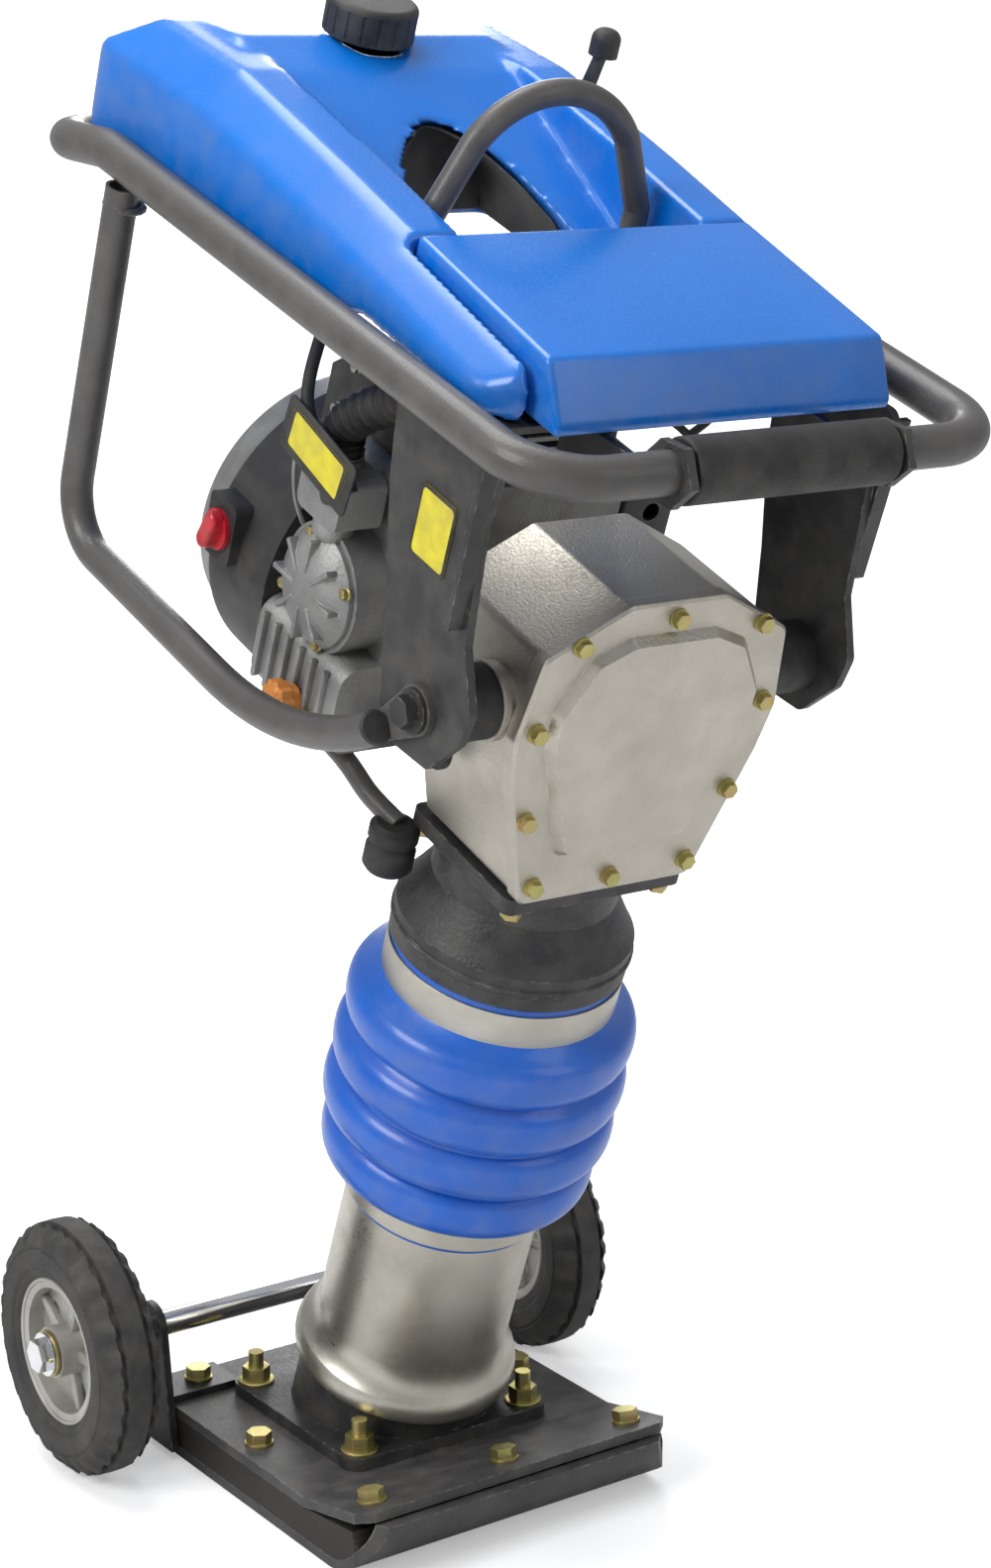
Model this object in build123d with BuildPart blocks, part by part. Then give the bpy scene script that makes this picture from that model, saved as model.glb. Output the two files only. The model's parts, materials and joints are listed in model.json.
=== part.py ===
"""Jumping jack rammer: an upright soil compactor that a petrol engine drives.

The sole stands flat on the ground and the leg leans forward from it.  World axes: +X to the toe,
+Y to the operator's left, +Z up; the origin is where the leg's axis meets the ground.  Everything
above the foot is drawn along the leg: u runs forward, y to the left and w up the leg's axis.
"""
import os
from math import acos, atan2, cos, pi, radians, sin, sqrt, tan

from build123d import *

os.makedirs("parts", exist_ok=True)

# ---------------------------------------------------------------- driving dimensions (mm)
LEAN = radians(21)            # between the leg's axis and the vertical

FOOT_HALF = 140               # half the width of the foot
FOOT_BACK = -125              # x of the sole's back edge
TOE_START = 146               # x where the flat sole ends
TOE_R = 56                    # outside radius of the turned-up toe
PLATE = 8                     # steel plate of the foot
FOOT_TOP = 40                 # height of the foot's top plate
STUD_X = 14                   # centre of the four leg studs
STUD_PITCH = 75               # half the stud square

WHEEL_X, WHEEL_Y, WHEEL_Z = -100, 209, 100
TYRE_R, TYRE_W, RIM_R = 99, 50, 57
AXLE_R = 10

CYL_R, CYL_BORE = 73, 64      # spring cylinder
CYL_FOOT, CYL_TOP = 108, 430  # its ends, along the leg
SLIDE_R = 70                  # ground surface that runs in the guide
LINER_R = 75
GUIDE_R = 80
GUIDE_END, GUIDE_LIP, GUIDE_TOP = 345, 487, 585
ROD_R = 20                    # plunger rod
PLATE_W = 283                 # underside of the spring plate
BELLOWS_LOW, BELLOWS_HIGH = 262, 486
BELLOWS_PITCH = 40

CASE_BACK, CASE_FRONT = -35, 70   # crankcase, along u
CASE_WALL = 9
COVER = 12                    # cover plate of the crankcase
CRANK_W = 730                 # height of the crank's axis
CRANK_R = 22                  # crank throw: half the stroke
ROD_LEN = 167                 # between the connecting rod's eyes
GEAR_M = 1.5                  # gear module
GEAR_T, PINION_T = 66, 14
ENGINE_W = CRANK_W - GEAR_M * (GEAR_T + PINION_T) / 2
JOURNAL_R = 17.5
PIN_R = 13
WRIST_R = 8
RUN = 0.05                    # radial clearance of a running fit
SLIP = 0.02                   # radial clearance of a fixed fit

TUBE_R = 14                   # handle loop
GUARD_R = 12
HANDLE_Y = 180
BAR_U, BAR_W = 135, 938       # front cross bar
MOUNT_U, MOUNT_W = 43, 728    # axis of the rubber mounts
PLATE_Y = 152                 # inner face of the side plates

# ---------------------------------------------------------------- the leg's own directions
FWD = Vector(cos(LEAN), 0, -sin(LEAN))
UP = Vector(sin(LEAN), 0, cos(LEAN))
LEFT = Vector(0, 1, 0)
LEG_AXIS = Axis((0, 0, 0), UP)


def spot(u, y, w):
    """The point u forward, y left and w up the leg."""
    return FWD * u + LEFT * y + UP * w


def level(w):
    """Square to the leg at height w: sketch x is u, sketch y is y."""
    return Plane(origin=UP * w, x_dir=FWD, z_dir=UP)


def facing(u):
    """Facing forward at u: sketch x is y, sketch y is w."""
    return Plane(origin=FWD * u, x_dir=LEFT, z_dir=FWD)


def side(y):
    """Along the leg at y: sketch x is u, sketch y is w; it extrudes to the right."""
    return Plane(origin=LEFT * y, x_dir=FWD, z_dir=-LEFT)


def across_start(line):
    """The plane square to the start of a line."""
    return Plane(origin=line @ 0, z_dir=line % 0)


def mirrored(points):
    """A left-hand outline followed by its right-hand mirror image."""
    return points + [(-x, y) for x, y in reversed(points)]


# ================================================================ foot
TOE_TURN = radians(80)
TOE_RISE = radians(12)        # slope of the top plate over the toe
TOE_BEND = 112                # x where the top plate starts to rise
TOE_LIP = 194
LIP_Z = FOOT_TOP + (TOE_LIP - TOE_BEND) * tan(TOE_RISE)


def toe_point(radius, turn):
    """A point on the toe's round, at a radius and a turn from straight down."""
    return (TOE_START + radius * sin(turn), TOE_R - radius * cos(turn))


def foot_outline(grow=0):
    """Plan view of the foot, with its corners cut."""
    length = TOE_START + TOE_R - FOOT_BACK + 2 * grow
    with Locations(((TOE_START + TOE_R + FOOT_BACK) / 2, 0)):
        Rectangle(length, 2 * FOOT_HALF)
    chamfer(vertices().group_by(Axis.X)[-1], 20)
    chamfer(vertices().group_by(Axis.X)[0], 10)


with BuildPart() as sole_plate:
    with BuildSketch(Plane.XZ.offset(-FOOT_HALF)):
        with BuildLine():
            Line((FOOT_BACK, 0), (TOE_START, 0))
            ThreePointArc(
                toe_point(TOE_R, 0), toe_point(TOE_R, TOE_TURN / 2), toe_point(TOE_R, TOE_TURN)
            )
            Line(toe_point(TOE_R, TOE_TURN), toe_point(TOE_R - PLATE, TOE_TURN))
            ThreePointArc(
                toe_point(TOE_R - PLATE, TOE_TURN),
                toe_point(TOE_R - PLATE, TOE_TURN / 2),
                toe_point(TOE_R - PLATE, 0),
            )
            Line((TOE_START, PLATE), (FOOT_BACK, PLATE))
            Line((FOOT_BACK, PLATE), (FOOT_BACK, 0))
        make_face()
    extrude(amount=2 * FOOT_HALF)
    with BuildSketch(Plane.XY):
        foot_outline()
    extrude(amount=2 * TOE_R, mode=Mode.INTERSECT)
sole_plate.part.label = "sole_plate"
export_step(sole_plate.part, "parts/sole_plate.step")

UNDER_TOP = FOOT_TOP - PLATE
TOE_INNER_R = TOE_R - PLATE

with BuildPart() as sole_block:
    with BuildSketch(Plane.XZ.offset(-FOOT_HALF)):
        with BuildLine():
            Line((FOOT_BACK, PLATE), (TOE_START, PLATE))
            ThreePointArc(
                toe_point(TOE_INNER_R, 0),
                toe_point(TOE_INNER_R, TOE_TURN / 3),
                toe_point(TOE_INNER_R, TOE_TURN * 2 / 3),
            )
            Line(toe_point(TOE_INNER_R, TOE_TURN * 2 / 3), (TOE_LIP - 14, UNDER_TOP + 8))
            Line((TOE_LIP - 14, UNDER_TOP + 8), (TOE_BEND, UNDER_TOP))
            Line((TOE_BEND, UNDER_TOP), (FOOT_BACK, UNDER_TOP))
            Line((FOOT_BACK, UNDER_TOP), (FOOT_BACK, PLATE))
        make_face()
    extrude(amount=2 * FOOT_HALF)
    with BuildSketch(Plane.XY):
        foot_outline()
    extrude(amount=2 * TOE_R, mode=Mode.INTERSECT)
sole_block.part.label = "sole_block"
export_step(sole_block.part, "parts/sole_block.step")

TOE_BOLTS = [(168, -115), (168, 2), (168, 115)]
SIDE_BOLTS = [(18, -120), (18, 120)]
BRACKET_BOLTS = [(-100, -105), (-100, 105)]
BOLT_R = 5
STUD_R = 6


def toe_plane(x, y):
    """On the top plate's rising front, square to it."""
    return Plane(
        origin=(x, y, FOOT_TOP + (x - TOE_BEND) * tan(TOE_RISE)),
        x_dir=(cos(TOE_RISE), 0, sin(TOE_RISE)),
        z_dir=(-sin(TOE_RISE), 0, cos(TOE_RISE)),
    )


with BuildPart() as foot_top_plate:
    with BuildSketch(Plane.XZ.offset(-FOOT_HALF)):
        with BuildLine():
            Polyline(
                (FOOT_BACK, UNDER_TOP),
                (TOE_BEND, UNDER_TOP),
                (TOE_LIP, LIP_Z - PLATE),
                (TOE_LIP, LIP_Z),
                (TOE_BEND, FOOT_TOP),
                (FOOT_BACK, FOOT_TOP),
                close=True,
            )
        make_face()
    extrude(amount=2 * FOOT_HALF)
    with BuildSketch(Plane.XY):
        foot_outline()
    extrude(amount=2 * TOE_R, mode=Mode.INTERSECT)
    for x, y in TOE_BOLTS:
        with BuildSketch(toe_plane(x, y)):
            Circle(BOLT_R + 0.3)
        extrude(amount=1.5 * PLATE, both=True, mode=Mode.SUBTRACT)
    with BuildSketch(Plane.XY.offset(UNDER_TOP)):
        with Locations(*SIDE_BOLTS, *BRACKET_BOLTS):
            Circle(BOLT_R + 0.3)
        with Locations((STUD_X, 0)):
            with GridLocations(2 * STUD_PITCH, 2 * STUD_PITCH, 2, 2):
                Circle(STUD_R + 0.3)
    extrude(amount=PLATE, mode=Mode.SUBTRACT)
foot_top_plate.part.label = "foot_top_plate"
export_step(foot_top_plate.part, "parts/foot_top_plate.step")

FLANGE = 10
FLANGE_TOP = FOOT_TOP + FLANGE
FLANGE_SIZE = 182
NECK_R = 77
POCKET_R = 58

with BuildPart() as base_casting:
    with BuildSketch(level(0)):
        Circle(NECK_R)
    extrude(amount=CYL_FOOT)
    split(bisect_by=Plane.XY.offset(FOOT_TOP), keep=Keep.TOP)
    with BuildSketch(Plane.XY.offset(FOOT_TOP)):
        with Locations((STUD_X, 0)):
            RectangleRounded(FLANGE_SIZE, FLANGE_SIZE, 14)
    extrude(amount=FLANGE)
    with BuildSketch(level(CYL_FOOT)):
        Circle(POCKET_R)
    extrude(amount=-26, mode=Mode.SUBTRACT)
    with BuildSketch(Plane.XY.offset(FOOT_TOP)):
        with Locations((STUD_X, 0)):
            with GridLocations(2 * STUD_PITCH, 2 * STUD_PITCH, 2, 2):
                Circle(STUD_R + 0.3)
    extrude(amount=FLANGE, mode=Mode.SUBTRACT)
base_casting.part.label = "base_casting"
export_step(base_casting.part, "parts/base_casting.step")

NUT_AF = 19
NUT_H = 11

with BuildPart() as foot_studs:
    with Locations((STUD_X, 0, 0)):
        with GridLocations(2 * STUD_PITCH, 2 * STUD_PITCH, 2, 2) as stud_places:
            pass
    stud_spots = [(loc.position.X, loc.position.Y) for loc in stud_places.locations]
    with BuildSketch(Plane.XY.offset(UNDER_TOP + 1)):
        with Locations(*stud_spots):
            Circle(STUD_R)
    extrude(amount=42)
    with BuildSketch(Plane.XY.offset(FLANGE_TOP)):
        with Locations(*stud_spots):
            Circle(NUT_AF * 0.66)
    extrude(amount=2)
    with BuildSketch(Plane.XY.offset(FLANGE_TOP + 2)):
        with Locations(*stud_spots):
            RegularPolygon(NUT_AF / 2, 6, major_radius=False)
    extrude(amount=NUT_H)
foot_studs.part.label = "foot_studs"
export_step(foot_studs.part, "parts/foot_studs.step")

HEAD_AF = 17
HEAD_H = 8
BRACKET = 6                   # plate of the axle brackets


def bolt_at(plane, shank):
    """A hexagon bolt with its washer, head up from a plane and shank down through it."""
    with BuildSketch(plane) as washer:
        Circle(HEAD_AF * 0.64)
    extrude(washer.sketch, amount=2)
    with BuildSketch(plane.offset(2)) as head:
        RegularPolygon(HEAD_AF / 2, 6, major_radius=False)
    extrude(head.sketch, amount=HEAD_H)
    with BuildSketch(plane) as stem:
        Circle(BOLT_R)
    extrude(stem.sketch, amount=-shank)


with BuildPart() as foot_bolts:
    for x, y in TOE_BOLTS:
        bolt_at(toe_plane(x, y), PLATE - 1)
    for x, y in SIDE_BOLTS:
        bolt_at(Plane.XY.offset(FOOT_TOP).shift_origin((x, y, FOOT_TOP)), PLATE - 1)
    for x, y in BRACKET_BOLTS:
        bolt_at(
            Plane.XY.offset(FOOT_TOP + BRACKET).shift_origin((x, y, FOOT_TOP + BRACKET)),
            PLATE + BRACKET - 1,
        )
foot_bolts.part.label = "foot_bolts"
export_step(foot_bolts.part, "parts/foot_bolts.step")

# ================================================================ transport wheels
BRACKET_Y = FOOT_HALF + 2
BRACKET_HALF = 32

with BuildPart() as axle_brackets:
    with BuildSketch(Plane.XZ.offset(-BRACKET_Y - BRACKET)):
        with BuildLine():
            Line((WHEEL_X - BRACKET_HALF, 6), (WHEEL_X + BRACKET_HALF, 6))
            Line((WHEEL_X + BRACKET_HALF, 6), (WHEEL_X + 20, WHEEL_Z))
            ThreePointArc((WHEEL_X + 20, WHEEL_Z), (WHEEL_X, WHEEL_Z + 20), (WHEEL_X - 20, WHEEL_Z))
            Line((WHEEL_X - 20, WHEEL_Z), (WHEEL_X - BRACKET_HALF, 6))
        make_face()
        with Locations((WHEEL_X, WHEEL_Z)):
            Circle(AXLE_R + RUN, mode=Mode.SUBTRACT)
    extrude(amount=BRACKET)
    with BuildSketch(Plane.XY.offset(FOOT_TOP)):
        with Locations((WHEEL_X, (BRACKET_Y + BRACKET + 80) / 2)):
            Rectangle(40, BRACKET_Y + BRACKET - 80)
        with Locations((BRACKET_BOLTS[1])):
            Circle(BOLT_R + 0.3, mode=Mode.SUBTRACT)
    extrude(amount=BRACKET)
    mirror(about=Plane.XZ)
axle_brackets.part.label = "axle_brackets"
export_step(axle_brackets.part, "parts/axle_brackets.step")

AXLE_HALF = WHEEL_Y + TYRE_W / 2 + 4

with BuildPart() as wheel_axle:
    with BuildSketch(Plane.XZ.offset(-AXLE_HALF)):
        with Locations((WHEEL_X, WHEEL_Z)):
            Circle(AXLE_R)
    extrude(amount=2 * AXLE_HALF)
    for end in (1, -1):
        for y, radius, length in ((AXLE_HALF - 2, 17, 3), (AXLE_HALF + 1, 13, 8)):
            with BuildSketch(Plane.XZ.offset(-end * y)):
                with Locations((WHEEL_X, WHEEL_Z)):
                    RegularPolygon(radius, 6 if length > 3 else 32)
            extrude(amount=-end * length)
wheel_axle.part.label = "wheel_axle"
export_step(wheel_axle.part, "parts/wheel_axle.step")

WHEEL_AXIS = Axis((WHEEL_X, 0, WHEEL_Z), (0, 1, 0))
HUB_R = 20


def wheel_section(centre_y):
    """Plane through the wheel's axis: sketch x is the radius, sketch y runs along the axle."""
    return Plane(origin=(WHEEL_X, centre_y, WHEEL_Z), x_dir=(1, 0, 0), z_dir=(0, 0, -1))


def rim_shape(centre_y):
    """Hub, dished disc with five windows, and the seat of the tyre."""
    with BuildSketch(wheel_section(centre_y)) as section:
        Polygon(
            (AXLE_R + RUN, -24),
            (HUB_R, -24),
            (HUB_R, -5),
            (RIM_R - 8, -5),
            (RIM_R - 8, -18),
            (RIM_R, -20),
            (RIM_R, 20),
            (RIM_R - 8, 18),
            (RIM_R - 8, 5),
            (HUB_R, 5),
            (HUB_R, 24),
            (AXLE_R + RUN, 24),
            align=None,
        )
    revolve(section.sketch, axis=WHEEL_AXIS)
    face = Plane(origin=(WHEEL_X, centre_y, WHEEL_Z), x_dir=(1, 0, 0), z_dir=(0, -1, 0))
    with BuildSketch(face) as windows:
        with PolarLocations((HUB_R + RIM_R - 8) / 2, 5):
            Circle(7.5)
    extrude(windows.sketch, amount=12, both=True, mode=Mode.SUBTRACT)


def tyre_shape(centre_y):
    """Solid rubber tyre with a rounded tread."""
    half = TYRE_W / 2
    with BuildSketch(wheel_section(centre_y)) as section:
        Polygon(
            (RIM_R + SLIP, -20),
            (RIM_R + SLIP, 20),
            (RIM_R + 12, half),
            (TYRE_R, half),
            (TYRE_R, -half),
            (RIM_R + 12, -half),
            align=None,
        )
        fillet(vertices().group_by(Axis.X)[-1], 12)
    revolve(section.sketch, axis=WHEEL_AXIS)


with BuildPart() as rim_left:
    rim_shape(WHEEL_Y)
rim_left.part.label = "rim_left"
export_step(rim_left.part, "parts/rim_left.step")

with BuildPart() as tyre_left:
    tyre_shape(WHEEL_Y)
tyre_left.part.label = "tyre_left"
export_step(tyre_left.part, "parts/tyre_left.step")

with BuildPart() as rim_right:
    rim_shape(-WHEEL_Y)
rim_right.part.label = "rim_right"
export_step(rim_right.part, "parts/rim_right.step")

with BuildPart() as tyre_right:
    tyre_shape(-WHEEL_Y)
tyre_right.part.label = "tyre_right"
export_step(tyre_right.part, "parts/tyre_right.step")

# ================================================================ leg: spring cylinder and guide
SKIRT_R = 85
FLOOR = 8

with BuildPart() as spring_cylinder:
    with BuildSketch(side(0)):
        with BuildLine():
            Line((0, CYL_FOOT), (NECK_R + 0.5, CYL_FOOT))
            Line((NECK_R + 0.5, CYL_FOOT), (NECK_R + 0.5, CYL_FOOT - 8))
            Line((NECK_R + 0.5, CYL_FOOT - 8), (SKIRT_R, CYL_FOOT - 6))
            ThreePointArc((SKIRT_R, CYL_FOOT - 6), (SKIRT_R + 1, CYL_FOOT + 2), (SKIRT_R - 2, CYL_FOOT + 10))
            ThreePointArc((SKIRT_R - 2, CYL_FOOT + 10), (CYL_R + 3, CYL_FOOT + 20), (CYL_R, CYL_FOOT + 34))
            Line((CYL_R, CYL_FOOT + 34), (CYL_R, 290))
            Line((CYL_R, 290), (SLIDE_R, 294))
            Line((SLIDE_R, 294), (SLIDE_R, CYL_TOP))
            Line((SLIDE_R, CYL_TOP), (CYL_BORE, CYL_TOP))
            Line((CYL_BORE, CYL_TOP), (CYL_BORE, CYL_FOOT + FLOOR))
            Line((CYL_BORE, CYL_FOOT + FLOOR), (0, CYL_FOOT + FLOOR))
            Line((0, CYL_FOOT + FLOOR), (0, CYL_FOOT))
        make_face()
    revolve(axis=LEG_AXIS)
spring_cylinder.part.label = "spring_cylinder"
export_step(spring_cylinder.part, "parts/spring_cylinder.step")

CAP_H = 20

with BuildPart() as cylinder_cap:
    with BuildSketch(level(CYL_TOP)):
        Circle(SLIDE_R - 0.5)
        Circle(ROD_R + RUN, mode=Mode.SUBTRACT)
    extrude(amount=CAP_H)
    fillet(edges().filter_by(GeomType.CIRCLE).group_by(LEG_AXIS)[-1].sort_by(SortBy.RADIUS)[-1], 4)
    with BuildSketch(level(CYL_TOP + CAP_H)):
        with PolarLocations(48, 6):
            Circle(6)
    extrude(amount=-8, mode=Mode.SUBTRACT)
cylinder_cap.part.label = "cylinder_cap"
export_step(cylinder_cap.part, "parts/cylinder_cap.step")

CLAMP_W = 16


def clamp_band(radius, low, high):
    """A band round the leg with the screw that tightens it, at the back."""
    with BuildSketch(level(low)) as band:
        Circle(radius + 2.5)
        Circle(radius + SLIP, mode=Mode.SUBTRACT)
    extrude(band.sketch, amount=high - low)
    with BuildSketch(level((low + high) / 2 - 5)) as housing:
        with Locations((-radius - 5, 0)):
            RectangleRounded(8, 22, 2)
        Circle(radius + 1, mode=Mode.SUBTRACT)
    extrude(housing.sketch, amount=10)
    with BuildSketch(side(17)) as screw:
        with Locations((-radius - 6, (low + high) / 2)):
            RegularPolygon(4, 6)
    extrude(screw.sketch, amount=6)


with BuildPart() as lower_clamp:
    clamp_band(CYL_R + 3.2, BELLOWS_LOW + 4, BELLOWS_LOW + 4 + CLAMP_W)
lower_clamp.part.label = "lower_clamp"
export_step(lower_clamp.part, "parts/lower_clamp.step")

with BuildPart() as upper_clamp:
    clamp_band(GUIDE_R + 3.2, BELLOWS_HIGH - 30, BELLOWS_HIGH - 4)
upper_clamp.part.label = "upper_clamp"
export_step(upper_clamp.part, "parts/upper_clamp.step")

RUBBER = 3                    # wall of the bellows
RIDGES = [(101, 310), (108, 350), (108, 390), (106, 430)]


def bellows_edge(inward):
    """Points up one face of the bellows' folds, moved inward by a wall's thickness."""
    points = [(CYL_R + 3.1 - inward, BELLOWS_LOW + 28)]
    for radius, w in RIDGES:
        points.append((radius - inward, w))
        points.append((radius - 14 - inward, w + BELLOWS_PITCH / 2))
    points[-1] = (GUIDE_R + 3.1 - inward, RIDGES[-1][1] + 24)
    return points


with BuildPart() as bellows:
    with BuildSketch(side(0)):
        outside = bellows_edge(0)
        inside = bellows_edge(RUBBER)
        with BuildLine():
            Polyline((inside[0][0], BELLOWS_LOW), (outside[0][0], BELLOWS_LOW), outside[0])
            Spline(*outside)
            Polyline(
                outside[-1],
                (outside[-1][0], BELLOWS_HIGH),
                (inside[-1][0], BELLOWS_HIGH),
                inside[-1],
            )
            Spline(*inside)
            Line(inside[0], (inside[0][0], BELLOWS_LOW))
        make_face()
    revolve(axis=LEG_AXIS)
bellows.part.label = "bellows"
export_step(bellows.part, "parts/bellows.step")

GUIDE_NECK_R = 67
GUIDE_HOLE_R = 50
GUIDE_FLANGE = 12

with BuildPart() as guide_cylinder:
    with BuildSketch(side(0)):
        with BuildLine():
            Polyline(
                (LINER_R + SLIP, GUIDE_END),
                (GUIDE_R, GUIDE_END),
                (GUIDE_R, GUIDE_LIP),
                (GUIDE_R + 6, GUIDE_LIP + 1),
                (GUIDE_R + 6, GUIDE_LIP + 26),
                (GUIDE_R + 1, GUIDE_LIP + 33),
                (GUIDE_NECK_R, GUIDE_LIP + 56),
                (GUIDE_NECK_R - 1, GUIDE_TOP),
                (GUIDE_HOLE_R, GUIDE_TOP),
                (GUIDE_HOLE_R, GUIDE_LIP + 50),
                (LINER_R + SLIP, GUIDE_LIP + 30),
                close=True,
            )
        make_face()
    revolve(axis=LEG_AXIS)
    with BuildSketch(level(GUIDE_TOP - GUIDE_FLANGE)):
        with Locations((14, 0)):
            RectangleRounded(124, 150, 8)
        Circle(GUIDE_HOLE_R + 6, mode=Mode.SUBTRACT)
    extrude(amount=GUIDE_FLANGE)
guide_cylinder.part.label = "guide_cylinder"
export_step(guide_cylinder.part, "parts/guide_cylinder.step")

with BuildPart() as guide_liner:
    with BuildSketch(level(GUIDE_END + 4)):
        Circle(LINER_R)
        Circle(SLIDE_R + RUN, mode=Mode.SUBTRACT)
    extrude(amount=GUIDE_LIP - GUIDE_END)
guide_liner.part.label = "guide_liner"
export_step(guide_liner.part, "parts/guide_liner.step")

# ================================================================ plunger and springs
FORK_W = 546                  # foot of the plunger's fork
FORK_TOP = 582
SLOT = 17
WRIST_W = CRANK_W - sqrt(ROD_LEN**2 - CRANK_R**2)
SPRING_PLATE = 16
TAIL_R = 16

with BuildPart() as plunger_rod:
    with BuildSketch(level(PLATE_W - 12)):
        Circle(TAIL_R)
    extrude(amount=SPRING_PLATE + 12)
    with BuildSketch(level(PLATE_W + SPRING_PLATE)):
        Circle(ROD_R)
    extrude(amount=FORK_W - 6 - PLATE_W - SPRING_PLATE)
    with BuildSketch(level(FORK_W - 6)):
        RectangleRounded(36, 40, 8)
    extrude(amount=FORK_TOP - FORK_W + 6)
    with BuildSketch(side(30)):
        with Locations((0, (FORK_W + FORK_TOP) / 2 + 5)):
            Rectangle(SLOT, FORK_TOP - FORK_W + 10)
    extrude(amount=60, mode=Mode.SUBTRACT)
    with BuildSketch(facing(-30)):
        with Locations((0, WRIST_W)):
            Circle(WRIST_R + SLIP)
    extrude(amount=60, mode=Mode.SUBTRACT)
plunger_rod.part.label = "plunger_rod"
export_step(plunger_rod.part, "parts/plunger_rod.step")

with BuildPart() as wrist_pin:
    with BuildSketch(facing(-17.5)):
        with Locations((0, WRIST_W)):
            Circle(WRIST_R)
    extrude(amount=35)
wrist_pin.part.label = "wrist_pin"
export_step(wrist_pin.part, "parts/wrist_pin.step")

with BuildPart() as spring_plate:
    with BuildSketch(level(PLATE_W)):
        Circle(CYL_BORE - 0.5)
    extrude(amount=SPRING_PLATE)
    chamfer(edges().filter_by(GeomType.CIRCLE), 2)
    with BuildSketch(level(PLATE_W - 14)):
        RegularPolygon(27, 6)
    extrude(amount=14)
    with BuildSketch(level(PLATE_W - 14)):
        Circle(TAIL_R + SLIP)
    extrude(amount=SPRING_PLATE + 14, mode=Mode.SUBTRACT)
spring_plate.part.label = "spring_plate"
export_step(spring_plate.part, "parts/spring_plate.step")

WIRE_R = 6.5
COIL_R = 48
SPRING_GAP = WIRE_R + 0.6

with BuildPart() as upper_spring:
    low = PLATE_W + SPRING_PLATE + SPRING_GAP
    with BuildLine() as coil:
        Helix((CYL_TOP - SPRING_GAP - low) / 5, CYL_TOP - SPRING_GAP - low, COIL_R, UP * low, UP)
    with BuildSketch(across_start(coil.line)):
        Circle(WIRE_R)
    sweep(is_frenet=True)
upper_spring.part.label = "upper_spring"
export_step(upper_spring.part, "parts/upper_spring.step")

with BuildPart() as lower_spring:
    low = CYL_FOOT + FLOOR + SPRING_GAP
    with BuildLine() as coil:
        Helix((PLATE_W - SPRING_GAP - low) / 6, PLATE_W - SPRING_GAP - low, COIL_R, UP * low, UP)
    with BuildSketch(across_start(coil.line)):
        Circle(WIRE_R)
    sweep(is_frenet=True)
lower_spring.part.label = "lower_spring"
export_step(lower_spring.part, "parts/lower_spring.step")

# ================================================================ crank mechanism
PRESSURE = radians(20)


def gear_outline(teeth, first, addendum, dedendum, backlash):
    """Outline of an involute gear about its own centre; first is the angle of one tooth."""
    pitch_r = teeth * GEAR_M / 2
    base_r = pitch_r * cos(PRESSURE)
    tip_r = pitch_r + addendum
    root_r = pitch_r - dedendum
    half_pitch = pi / (2 * teeth) - backlash / (2 * pitch_r)
    half_base = half_pitch + tan(PRESSURE) - PRESSURE
    flank = [(root_r, half_base), (max(base_r, root_r + 0.01), half_base)]
    for step in (1, 2, 3):
        radius = max(base_r, root_r) + (tip_r - max(base_r, root_r)) * step / 3
        roll = acos(base_r / radius)
        flank.append((radius, half_base - tan(roll) + roll))
    points = []
    for tooth in range(teeth):
        middle = first + 2 * pi * tooth / teeth
        for radius, half in flank:
            points.append((radius * cos(middle - half), radius * sin(middle - half)))
        for radius, half in reversed(flank):
            points.append((radius * cos(middle + half), radius * sin(middle + half)))
    return points


GEAR_BACK, GEAR_FACE = -25, 15    # back of the gear along u, and its width
JOURNAL_END = -44
ROD_THICK = 14                # connecting rod, along u

with BuildPart() as crank_gear:
    with BuildSketch(facing(GEAR_BACK)):
        with Locations((0, CRANK_W)):
            Polygon(*gear_outline(GEAR_T, 1.5 * pi, 1.3, 1.9, 0.2), align=None)
    extrude(amount=GEAR_FACE)
    with BuildSketch(facing(JOURNAL_END)):
        with Locations((0, CRANK_W)):
            Circle(JOURNAL_R)
    extrude(amount=GEAR_BACK - JOURNAL_END)
    with BuildSketch(facing(GEAR_BACK)):
        with Locations((0, CRANK_W)):
            with PolarLocations(33, 5, start_angle=36):
                Circle(8)
    extrude(amount=GEAR_FACE, mode=Mode.SUBTRACT)
    with BuildSketch(facing(GEAR_BACK + GEAR_FACE)):
        with Locations((CRANK_R, CRANK_W)):
            Circle(PIN_R + 5)
    extrude(amount=2.5)
    with BuildSketch(facing(GEAR_BACK)):
        with Locations((CRANK_R, CRANK_W)):
            Circle(PIN_R)
    extrude(amount=ROD_THICK / 2 + 4 - GEAR_BACK)
crank_gear.part.label = "crank_gear"
export_step(crank_gear.part, "parts/crank_gear.step")

EYE_GAP = 1.0                 # radial room of the open pivot at the wrist
EYE_Y = 0.67                  # the eye stands off the pin by half its sideways drift
BIG_END_R, SMALL_END_R = 22, 15.5

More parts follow.
